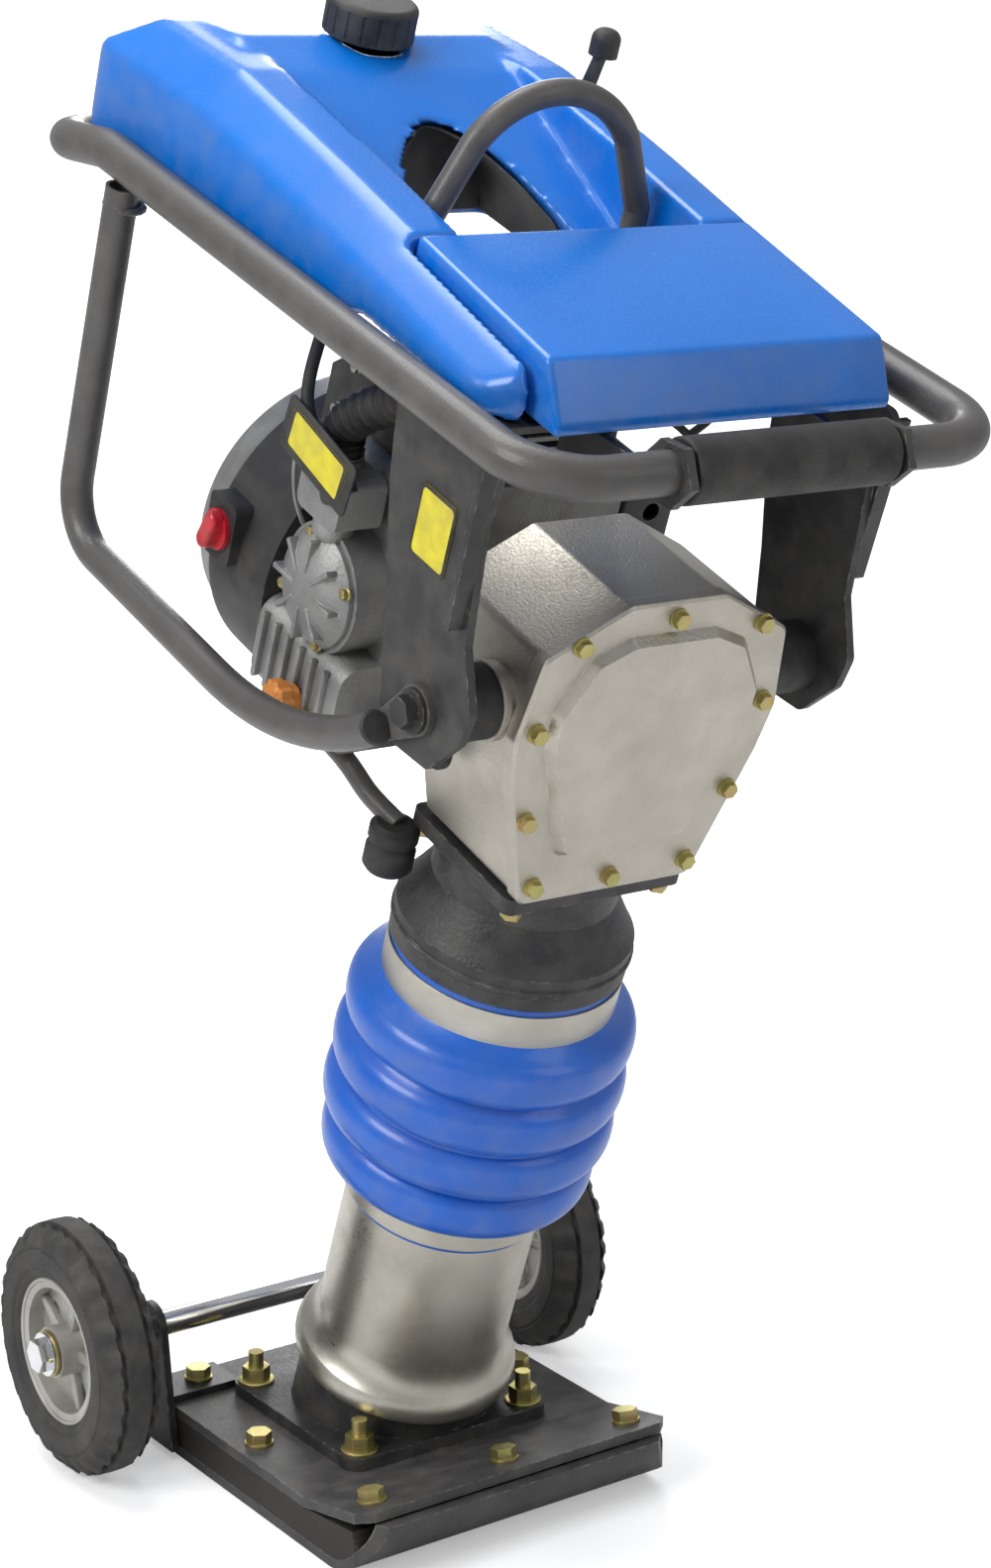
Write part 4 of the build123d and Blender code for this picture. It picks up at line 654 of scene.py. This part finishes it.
def leg_details():
    """A raised band round the guide cylinder and a weld round the foot of the spring cylinder."""
    inner, outer, bottom, top, chamfer = 0.0845, 0.0876, 0.499, 0.505, 0.0014
    ring = lathe(
        [
            (outer - chamfer, bottom),
            (outer, bottom + 0.0015),
            (outer, top - 0.0015),
            (outer - chamfer, top),
            (inner, top),
            (inner, bottom),
        ],
        72,
    )
    piece("guide_lip_band", ring, "casting_dark", "upper", rising(0, 0, 0))
    weld_w = leg_box("spring_cylinder")[0].z + 0.017
    bead = ring_bead(rising(0, 0, weld_w), 0.0745, 0.0022, steps=96, ripple=0.0003)
    piece("cylinder_weld", merged([bead]), "steel_silver", "leg")


# ---------------------------------------------------------------- wheels
def tyre_tread(side, node, body):
    """Solid tyre with three ribs, lugged shoulders and rings on the walls."""
    low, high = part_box(node)
    centre = (low + high) / 2
    radius = (high.z - low.z) / 2
    seat = 0.0572
    half = (high.y - low.y) / 2
    lugs, lug_drop, groove_share = 30, 0.0030, 0.34
    shoulder = radius - 0.009
    wall = [
        (seat, 0.0195),
        (seat + 0.0035, 0.0222),
        (seat + 0.0075, 0.0222),
        (seat + 0.009, half - 0.0012),
        (seat + 0.012, half - 0.0002),
        (radius - 0.020, half),
        (radius - 0.0185, half - 0.0012),
        (radius - 0.017, half - 0.0004),
    ]
    tread = [
        (shoulder, half - 0.0035),
        (radius - 0.0035, half - 0.0095),
        (radius - 0.0012, 0.0135),
        (radius - 0.0052, 0.0128),
        (radius - 0.0052, 0.0098),
        (radius - 0.0004, 0.0090),
        (radius, 0.0),
    ]
    right = wall + tread
    profile = right + [(r, -y) for r, y in reversed(right[:-1])]

    def pull(angle, r, height):
        turn = (angle * lugs / tau) % 1.0
        if r > radius - 0.010 and abs(height) > 0.0130 and turn < groove_share:
            return r - lug_drop
        return r

    place = stand(centre, Vector((1, 0, 0)), LEFT)
    tyre = piece(f"{side}_tyre_tread", lathe(profile, 180, pull), "tyre", body, place)
    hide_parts(node)


def rim_ribs(side, node, body):
    """Five spokes on each face of the rim, a rolled lip, and a washer with a split pin on the axle."""
    low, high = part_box(node)
    centre = (low + high) / 2
    lip = (high.z - low.z) / 2
    spokes, hub, spoke_end = 5, 0.018, lip - 0.008
    outline = [(hub, -0.0045), (spoke_end, -0.003), (spoke_end, 0.003), (hub, 0.0045)]
    parts = []
    for face in (1, -1):
        facing_out = stand(centre, Vector((face, 0, 0)), LEFT * face)
        for i in range(spokes):
            spoke = slab(outline, 0.004, 0.011, 0.0016)
            parts.append((spoke, facing_out @ Matrix.Rotation(tau * (i + 0.5) / spokes, 4, "Z")))
        lip_place = facing_out @ Matrix.Translation((0, 0, 0.0193))
        parts.append(ring_bead(lip_place, lip - 0.0012, 0.0017, steps=72))
    piece(f"{side}_rim_ribs", merged(parts), "rim", body)
    outward = 1 if centre.y > 0 else -1
    end = stand(centre + LEFT * outward * 0.0252, Vector((outward, 0, 0)), LEFT * outward)
    washer = lathe([(0.0104, 0), (0.018, 0), (0.018, 0.0022), (0.0104, 0.0022)], 36)
    pin_height = 0.0058
    pin_path = [Vector((x, y, pin_height)) for x, y in ((-0.015, 0.0), (0.015, 0.0), (0.019, 0.003))]
    pin = sweep(pin_path, 0.0014, 8)
    piece(f"{side}_axle_washer", merged([(washer, end), (pin, end)]), "zinc", "leg")


# ---------------------------------------------------------------- tank and filter box
def moulded(node, name, body, voxel, passes):
    """A soft-edged moulding in the space of a CAD node: its outline rounded as blow moulding leaves it."""
    bm = bmesh.new()
    bm.from_mesh(NODES[node].data)
    bmesh.ops.remove_doubles(bm, verts=bm.verts, dist=10 * WELD)
    obj = piece(name, bm, SLOT_OF[node], None)
    remesh = obj.modifiers.new("remesh", "REMESH")
    remesh.mode = "VOXEL"
    remesh.voxel_size = voxel
    smooth = obj.modifiers.new("smooth", "SMOOTH")
    smooth.factor = 0.5
    smooth.iterations = passes
    graph = bpy.context.evaluated_depsgraph_get()
    shaped = bpy.data.meshes.new_from_object(obj.evaluated_get(graph))
    old = obj.data
    obj.modifiers.clear()
    obj.data = shaped
    bpy.data.meshes.remove(old)
    obj.data.shade_smooth()
    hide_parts(node)
    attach(obj, body)


def flexing(node, name):
    """The CAD node's own shape as a piece of its own, fixed in place, with the node hidden."""
    bm = bmesh.new()
    bm.from_mesh(NODES[node].data)
    obj = piece(name, bm, SLOT_OF[node], None)
    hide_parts(node)
    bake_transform(obj)


def springs_and_lines():
    """The springs, the fuel hose and the throttle cable as pieces of their own."""
    flexing("upper_spring", "upper_spring_coils")
    flexing("lower_spring", "lower_spring_coils")
    for node, name in (("fuel_hose", "fuel_hose_run"), ("throttle_cable", "throttle_cable_run")):
        flexing(node, name)


def filter_cover_shell():
    """The filter box: a rounded lid with a crowned top over a recessed skirt."""
    low, high = leg_box("filter_cover")
    half = high.y
    front_top, front_low = high.x - 0.0235, high.x - 0.001
    back = low.x
    base, brow = low.z + 0.002, high.z - 0.047
    rise = high.z - 0.0125
    crown = high.z - 0.0005
    outline = [(back, base), (front_low, base), (high.x, brow), (front_top, rise), (back, crown)]
    bm = bmesh.new()
    spans = 8
    rows = []
    for i in range(spans + 1):
        y = -half + 2 * half * i / spans
        rows.append([bm.verts.new((u, y, w)) for u, w in outline])
    for near, far in zip(rows, rows[1:]):
        for i in range(len(outline)):
            k = (i + 1) % len(outline)
            bm.faces.new((near[i], near[k], far[k], far[i]))
    bm.faces.new(rows[0])
    bm.faces.new(rows[-1])
    bmesh.ops.recalc_face_normals(bm, faces=bm.faces)
    sharp = [e for e in bm.edges if len(e.link_faces) == 2 and e.calc_face_angle(0) > radians(12)]
    bmesh.ops.bevel(
        bm, geom=sharp, offset=0.0085, segments=6, affect="EDGES", profile=0.5, clamp_overlap=True
    )
    lid = piece("filter_lid", bm, "blue_plastic", None, LEG.to_4x4())
    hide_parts("filter_cover")
    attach(lid, "handle")


# ---------------------------------------------------------------- engine
COWL_Y = -0.0742              # right side of the cowling over the cylinder


def engine_castings():
    """The domed side casting with its ribs, and the sump with its ribs and plugs."""
    dome_u, dome_y, dome_w = -0.150, -0.1142, 0.704
    dome_place = rightward(dome_u, dome_y, dome_w)
    dome = lathe(turned([(0.042, 0), (0.042, 0.003), (0.037, 0.008), (0.026, 0.0135), (0.010, 0.0155)]), 48)
    parts = [(dome, dome_place)]
    ribs, rib_start, rib_end = 8, 0.013, 0.0375
    outline = [(rib_start, -0.0016), (rib_end, -0.0022), (rib_end, 0.0022), (rib_start, 0.0016)]
    for i in range(ribs):
        rib = slab(outline, 0.006, 0.0165, 0.0012, 2)
        parts.append((rib, dome_place @ Matrix.Rotation(tau * i / ribs, 4, "Z")))
    piece("side_casting", merged(parts), "engine_alloy", "upper")
    ring = around(rightward(dome_u, dome_y - 0.003, dome_w), 0.0395, 4, 0.4)
    bolts("side_casting_bolts", ring, 0.007, 0.005, "upper")

    sump_y = leg_box("engine_block")[0].y
    ribs = []
    for i in range(6):
        rib = slab(rounded_rectangle(0.0045, 0.052, 0.002, 2), -0.0002, 0.0045, 0.0012, 2)
        ribs.append((rib, rightward(-0.196 + 0.0165 * i, sump_y, 0.634)))
    piece("sump_ribs", merged(ribs), "engine_alloy", "upper")
    plug = lathe(
        turned([(0.0105, 0), (0.0105, 0.006), (0.015, 0.0075), (0.0155, 0.017), (0.012, 0.0195)]),
        60,
        lambda angle, r, height: r - 0.0012 * (height > 0.007) * (1 + cos(angle * 10)),
    )
    piece("oil_filler_plug", plug, "orange_plastic", "upper", rightward(-0.141, sump_y - 0.004, 0.622))
    drain_place = rightward(-0.118, sump_y - 0.0002, 0.616)
    piece("drain_plug", flange_bolt(0.012, 0.009), "zinc", "upper", drain_place)


def engine_screws():
    """Bolts round the recoil cover and screws on the cowling."""
    shroud_back = leg_box("fan_shroud")[0].x
    shaft_low, shaft_high = leg_box("engine_crankshaft")
    shaft_back = backward(shroud_back + 0.030, 0, (shaft_low.z + shaft_high.z) / 2)
    bolts("recoil_bolts", around(shaft_back, 0.1085, 6, 0.3), 0.008, 0.006, "upper")
    corners = ((-0.226, 0.800), (-0.124, 0.800), (-0.124, 0.842), (-0.212, 0.838))
    cowl = [rightward(u, COWL_Y, w) for u, w in corners]
    bolts("cowl_screws", cowl, 0.007, 0.005, "upper", "steel")


def spark_lead():
    """The ignition lead from the cylinder's boot to the fan shroud."""
    knots = (
        (-0.150, 0.060, 0.838),
        (-0.140, 0.092, 0.852),
        (-0.190, 0.098, 0.842),
        (-0.222, 0.070, 0.812),
    )
    lead = curve_points([spot(*knot) for knot in knots])
    piece("spark_lead", sweep(lead, 0.0035, 10), "rubber", "upper")
    boot = lathe(turned([(0.008, 0), (0.009, 0.004), (0.0085, 0.016), (0.006, 0.024), (0.0045, 0.028)]), 24)
    piece("spark_boot", boot, "rubber", "upper", leftward(-0.150, 0.044, 0.836))


def carburettor_details():
    """The float bowl under the carburettor and the governor's rod and arm beside it."""
    carb_base = leg_box("carburettor")[0].z
    bowl = lathe(
        turned([(0.013, 0.0), (0.0145, -0.003), (0.0145, -0.014), (0.011, -0.0185), (0.004, -0.0195)]), 36
    )
    bowl_u, bowl_y = -0.152, -0.112
    piece("float_bowl", bowl, "engine_alloy", "upper", rising(bowl_u, bowl_y, carb_base + 0.001))
    below = rising(bowl_u, bowl_y, carb_base - 0.018) @ Matrix.Rotation(pi, 4, "X")
    piece("float_bowl_bolt", flange_bolt(0.007, 0.005), "zinc", "upper", below)
    knots = (
        (-0.170, -0.122, 0.792),
        (-0.196, -0.122, 0.786),
        (-0.204, -0.112, 0.748),
        (-0.200, -0.098, 0.716),
    )
    rod = curve_points([spot(*knot) for knot in knots], 8)
    piece("governor_rod", sweep(rod, 0.0017, 8), "steel", "upper")
    outline = [(-0.006, -0.006), (0.006, -0.006), (0.004, 0.040), (-0.004, 0.040)]
    arm = slab(outline, 0, 0.003, 0.0012, 2)
    piece("governor_arm", arm, "zinc", "upper", rightward(-0.200, -0.0905, 0.690))


def muffler_ribs():
    """Upright ribs on the muffler's outer side."""
    low, high = leg_box("muffler")
    ribs = []
    for i in range(6):
        rib = slab(rounded_rectangle(0.005, 0.060, 0.0024, 3), -0.0002, 0.0022, 0.001, 2)
        ribs.append((rib, leftward(low.x + 0.014 + 0.0125 * i, high.y, (low.z + high.z) / 2)))
    piece("muffler_ribs", merged(ribs), "black_paint", "upper")


def pull_rope():
    """The starter rope from the recoil cover to its grip."""
    grip_low, grip_high = leg_box("starter_grip")
    cover_low = leg_box("recoil_cover")[0]
    y, w = (grip_low.y + grip_high.y) / 2, (grip_low.z + grip_high.z) / 2
    near, far = cover_low.x + 0.006, grip_high.x - 0.012
    path = [spot(near + (far - near) * i / 6, y, w) for i in range(7)]
    rope = piece("pull_rope", sweep(path, 0.0025, 10), "rubber", None)
    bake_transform(rope)
    guide = lathe([(0.0034, 0), (0.009, 0), (0.0085, 0.003), (0.005, 0.0042), (0.0034, 0.0035)], 28)
    piece("rope_guide", guide, "steel", "upper", backward(cover_low.x + 0.001, y, w))


def air_hose():
    """The corrugated hose from the filter box down to the carburettor."""
    carb_top = leg_box("carburettor")[1].z
    knots = [
        spot(-0.158, -0.112, carb_top - 0.002),
        spot(-0.158, -0.112, carb_top + 0.022),
        spot(-0.120, -0.100, carb_top + 0.058),
        spot(-0.074, -0.092, carb_top + 0.092),
        spot(-0.052, -0.090, leg_box("filter_cover")[0].z + 0.004),
    ]
    path = curve_points(knots, 30)
    hose = piece("air_hose", sweep(path, 0.0135, 20, waves=24, swell=0.0016), "rubber", None)
    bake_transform(hose)


def cable_tail():
    """The throttle cable's last run, from where it leaves the handle over the cowling to the carburettor."""
    carb_low, carb_high = leg_box("carburettor")
    end_u, end_y, end_w = carb_low.x + 0.007, carb_high.y - 0.008, carb_high.z - 0.001
    over_cowl = 0.860
    knots = [
        spot(-0.0838, 0.1205, 0.8348),
        spot(-0.088, 0.098, 0.848),
        spot(-0.105, 0.050, over_cowl),
        spot(-0.140, -0.040, over_cowl),
        spot(end_u, -0.088, 0.842),
        spot(end_u, end_y, end_w + 0.011),
        spot(end_u, end_y, end_w),
    ]
    run = sweep(curve_points(knots, 10), 0.003, 12)
    ferrule = lathe([(0, 0), (0.0055, 0), (0.0055, 0.012), (0.0038, 0.016), (0, 0.016)], 20)
    whole = merged([(run, STILL), (ferrule, rising(end_u, end_y, end_w))])
    piece("throttle_cable_tail", whole, "rubber", "upper")


# ---------------------------------------------------------------- frame details
def mark(name, outline, body, place):
    """A blank mark: a thin yellow plate with a raised dark rim and no lettering."""
    piece(name, slab(outline, 0, 0.0007, 0.0002, 1), "mark_yellow", body, place)
    inner = [(x * 0.90, y * 0.90) for x, y in outline]
    seat, top = 0.0006, 0.0011
    bm = bmesh.new()
    levels = ((outline, seat), (outline, top), (inner, top), (inner, seat))
    rings = [[bm.verts.new((x, y, z)) for x, y in ring] for ring, z in levels]
    for near, far in zip(rings, rings[1:] + rings[:1]):
        for i in range(len(outline)):
            k = (i + 1) % len(outline)
            bm.faces.new((near[i], near[k], far[k], far[i]))
    piece(f"{name}_rim", bm, "black_plastic", body, place)


def marks():
    """The blank mark on the side plate, and the one on its board beside the cowling."""
    mark("side_mark", rounded_rectangle(0.040, 0.050, 0.004), "handle", rightward(0.016, -0.1582, 0.842))
    board_place = rightward(-0.146, -0.1415, 0.810) @ Matrix.Rotation(radians(-8), 4, "Z")
    board = slab(rounded_rectangle(0.090, 0.040, 0.005), -0.0016, 0, 0.0005, 2)
    arm_place = rightward(-0.183, COWL_Y + 0.0002, 0.812)
    arm = slab(rounded_rectangle(0.010, 0.004, 0.001, 2), 0, 0.0665, 0.0004, 1)
    piece("mark_board", merged([(board, board_place), (arm, arm_place)]), "black_plastic", "upper")
    mark("cowl_mark", rounded_rectangle(0.074, 0.029, 0.003), "upper", board_place)


def frame_details():
    """Welds on the guard tubes and the lifting hoop, plugs in the guard tubes, and cable ties."""
    guard_top = leg_box("guard_tubes")[1].z
    welds = []
    for sign in (1, -1):
        foot = rising(-0.378, sign * 0.1775, guard_top - 0.014)
        welds.append(ring_bead(foot, 0.0125, 0.0028, ripple=0.0005))
    piece("guard_welds", merged(welds), "tube_paint", "handle")

    plugs = []
    tip_u, tip_y, tip_w = 0.019, 0.1719, 0.702
    turn_u, turn_w = -0.165, 0.634
    climb = atan2(tip_w - turn_w, tip_u - turn_u) * 2
    along = (FWD * cos(climb) + UP * sin(climb)).normalized()
    for sign in (1, -1):
        place = stand(spot(tip_u, sign * tip_y, tip_w), LEFT, along)
        dome = lathe(turned([(0.0112, -0.004), (0.0117, 0.0004), (0.0105, 0.0022), (0.006, 0.0036)]), 32)
        plugs.append((dome, place))
    piece("guard_plugs", merged(plugs), "black_plastic", "handle")

    hoop_low, hoop_high = leg_box("lifting_hoop")
    collars = []
    for sign in (1, -1):
        foot = rising((hoop_low.x + hoop_high.x) / 2, sign * 0.0858, 0.932)
        collars.append(ring_bead(foot, 0.0098, 0.0022, ripple=0.0004))
    piece("hoop_welds", merged(collars), "tube_paint", "handle")

    ties = []
    for u, w in ((-0.318, 0.9335), (-0.210, 0.9235)):
        ties.append(ring_bead(forward(u, 0.1835, w), 0.0178, 0.0013, sides=8))
    piece("cable_ties", merged(ties), "black_plastic", "handle")


def foot_details():
    """Washers under the nuts of the shoe's four studs."""
    stud_low, stud_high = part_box("foot_studs")
    inset = 0.0125
    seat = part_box("foot_top_plate")[0].z + 0.0181
    bore, rim, chamfered, thick = 0.0066, 0.0142, 0.0135, 0.0024
    profile = [(bore, 0), (rim, 0), (rim, 0.002), (chamfered, thick), (bore, thick)]
    washers = []
    for x in (stud_low.x + inset, stud_high.x - inset):
        for y in (stud_low.y + inset, stud_high.y - inset):
            washers.append((lathe(profile, 36), Matrix.Translation((x, y, seat))))
    piece("stud_washers", merged(washers), "zinc", "leg")


def tunnel_shade_sheet():
    """A black sheet of painted shade that lines the arch under the tank as far as the tank covers it, closed at
    the back.
    """
    radius, wall = 0.0655, 0.0018
    axis_w, back, mouth = 0.912, -0.2985, -0.196
    turns, step = 36, 0.001
    directions = [(cos(pi * i / turns), sin(pi * i / turns)) for i in range(turns + 1)]
    bpy.context.view_layer.update()
    shell = bpy.data.objects["fuel_tank_shell"]
    points = [shell.matrix_world @ vertex.co for vertex in shell.data.vertices]
    tank = BVHTree.FromPolygons(points, [face.vertices for face in shell.data.polygons])
    bm = bmesh.new()
    rows = []
    for across, rise in directions:
        reach = back + 0.004
        while reach < mouth and tank.ray_cast(spot(reach, radius * across, axis_w + radius * rise), UP)[0]:
            reach += step
        corners = ((radius, back), (radius, reach), (radius - wall, reach), (radius - wall, back))
        rows.append([bm.verts.new(spot(u, r * across, axis_w + r * rise)) for r, u in corners])
    for near, far in zip(rows, rows[1:]):
        for k in range(4):
            after = (k + 1) % 4
            bm.faces.new((near[k], far[k], far[after], near[after]))
    bm.faces.new(rows[0])
    bm.faces.new(rows[-1])
    lid = slab([(radius * across, radius * rise) for across, rise in directions], 0, wall, 0.0004, 1)
    parts = [(bm, STILL), (lid, forward(back - wall, 0, axis_w))]
    # This black sheet is painted shade: it darkens the arch under the tank.
    piece("tunnel_shade_sheet", merged(parts), "black_plastic", "handle")


def skid_bars():
    """Two round bars under the engine's sump, each on a rubber buffer at the guide's flange."""
    low = leg_box("engine_block")[0]
    flange_w = leg_box("guide_cylinder")[1].z - 0.014
    fat, waist = 0.018, 0.0155
    waisted = turned(
        [
            (0.015, -0.022),
            (fat, -0.018),
            (fat, -0.004),
            (waist, 0.0),
            (fat, 0.004),
            (fat, 0.012),
            (0.014, 0.016),
        ]
    )
    bars, buffers = [], []
    for sign in (1, -1):
        path = [
            spot(-0.046, sign * 0.084, flange_w),
            spot(-0.075, sign * 0.092, flange_w + 0.008),
            spot(-0.110, sign * 0.098, low.z - 0.008),
            spot(low.x + 0.010, sign * 0.098, low.z - 0.008),
        ]
        bars.append((sweep(curve_points(path, 8), 0.0075, 14), STILL))
        buffers.append((lathe(waisted, 32), rising(-0.046, sign * 0.086, flange_w - 0.014)))
    piece("skid_bars", merged(bars), "tube_paint", "upper")
    piece("skid_buffers", merged(buffers), "rubber", "upper")


# ---------------------------------------------------------------- stage, light and camera
def stage():
    """A pale floor, flat for several metres round the object and then curving up to hide its edge."""
    flat, rim = 3.0, 14.0
    rings, spokes = 24, 72
    bm = bmesh.new()
    middle = bm.verts.new((0, 0, 0))
    previous = None
    for ring in range(1, rings + 1):
        radius = rim * (ring / rings) ** 2
        rise = max(0.0, radius - flat) ** 2 / (rim - flat)
        angles = [tau * i / spokes for i in range(spokes)]
        current = [bm.verts.new((radius * cos(a), radius * sin(a), rise)) for a in angles]
        for i in range(spokes):
            k = (i + 1) % spokes
            if previous:
                bm.faces.new((previous[i], current[i], current[k], previous[k]))
            else:
                bm.faces.new((middle, current[i], current[k]))
        previous = current
    mesh = bpy.data.meshes.new("floor")
    bm.to_mesh(mesh)
    bm.free()
    mesh.shade_smooth()
    mesh.materials.append(PAINT["floor"])
    floor = bpy.data.objects.new("floor", mesh)
    bpy.context.scene.collection.objects.link(floor)
    floor.location.z = cad_box[0].z


def soft_box(name, location, target, size, power):
    """A rectangular studio light aimed at a point."""
    light = bpy.data.lights.new(name, "AREA")
    light.shape = "RECTANGLE"
    light.size, light.size_y = size
    light.energy = power
    obj = bpy.data.objects.new(name, light)
    obj.location = location
    obj.rotation_euler = (Vector(target) - Vector(location)).to_track_quat("-Z", "Y").to_euler()
    bpy.context.scene.collection.objects.link(obj)


def lift_floor():
    """Lets the camera, and nothing else, see the floor brighter than its light, most of all far away."""
    tree = PAINT["floor"].node_tree
    seen = put(tree, "ShaderNodeLightPath").outputs["Is Camera Ray"]
    where = put(tree, "ShaderNodeTexCoord").outputs["Object"]
    far = put(tree, "ShaderNodeVectorMath", {0: where}, operation="LENGTH").outputs["Value"]
    bsdf = tree.nodes["Principled BSDF"]
    bsdf.inputs["Emission Color"].default_value = (1, 1, 1, 1)
    glow = times(tree, seen, spread(tree, far, 0.35, 0.85, 0.5, 2.2))
    tree.links.new(glow, bsdf.inputs["Emission Strength"])


def lights():
    """Pale surroundings, a key light from the right, a weak fill in front, one above and one behind."""
    world = bpy.data.worlds.new("studio")
    world.use_nodes = True
    background = world.node_tree.nodes["Background"]
    background.inputs["Color"].default_value = (0.95, 0.97, 1.0, 1)
    seen = put(world.node_tree, "ShaderNodeLightPath").outputs["Is Camera Ray"]
    strength = spread(world.node_tree, seen, 0.5, 1.1)
    world.node_tree.links.new(strength, background.inputs["Strength"])
    bpy.context.scene.world = world
    aim = (0.16, 0, 0.62)
    soft_box("key", (0.4, -2.8, 2.6), aim, (1.6, 1.6), 70)
    soft_box("fill", (3.0, 1.4, 2.2), aim, (1.4, 2.0), 12)
    soft_box("top", (-0.5, -0.2, 3.2), aim, (2.0, 1.2), 48)
    soft_box("back", (-2.4, 1.6, 1.6), aim, (0.8, 2.0), 30)


def camera():
    """The photo's view: a long lens at the front right, looking slightly down."""
    lens = bpy.data.cameras.new("camera")
    lens.lens = 71.11
    lens.sensor_width = 36
    obj = bpy.data.objects.new("camera", lens)
    target = Vector((0.15893, 0, 0.56583))
    obj.location = (1.8935, -1.2224, 1.0780)
    obj.rotation_euler = (target - obj.location).to_track_quat("-Z", "Y").to_euler()
    bpy.context.scene.collection.objects.link(obj)
    bpy.context.scene.camera = obj
    bpy.context.scene.view_settings.view_transform = "Standard"


paint_frame()
bellows_skin()
clamp_screws()
leg_details()
tyre_tread("left", "tyre_left", "wheel_left")
tyre_tread("right", "tyre_right", "wheel_right")
rim_ribs("left", "rim_left", "wheel_left")
rim_ribs("right", "rim_right", "wheel_right")
moulded("fuel_tank", "fuel_tank_shell", "handle", 0.0035, 9)
filter_cover_shell()
springs_and_lines()
engine_castings()
engine_screws()
spark_lead()
carburettor_details()
muffler_ribs()
pull_rope()
air_hose()
cable_tail()
marks()
frame_details()
foot_details()
tunnel_shade_sheet()
skid_bars()
stage()
lift_floor()
lights()
camera()

bpy.context.view_layer.update()
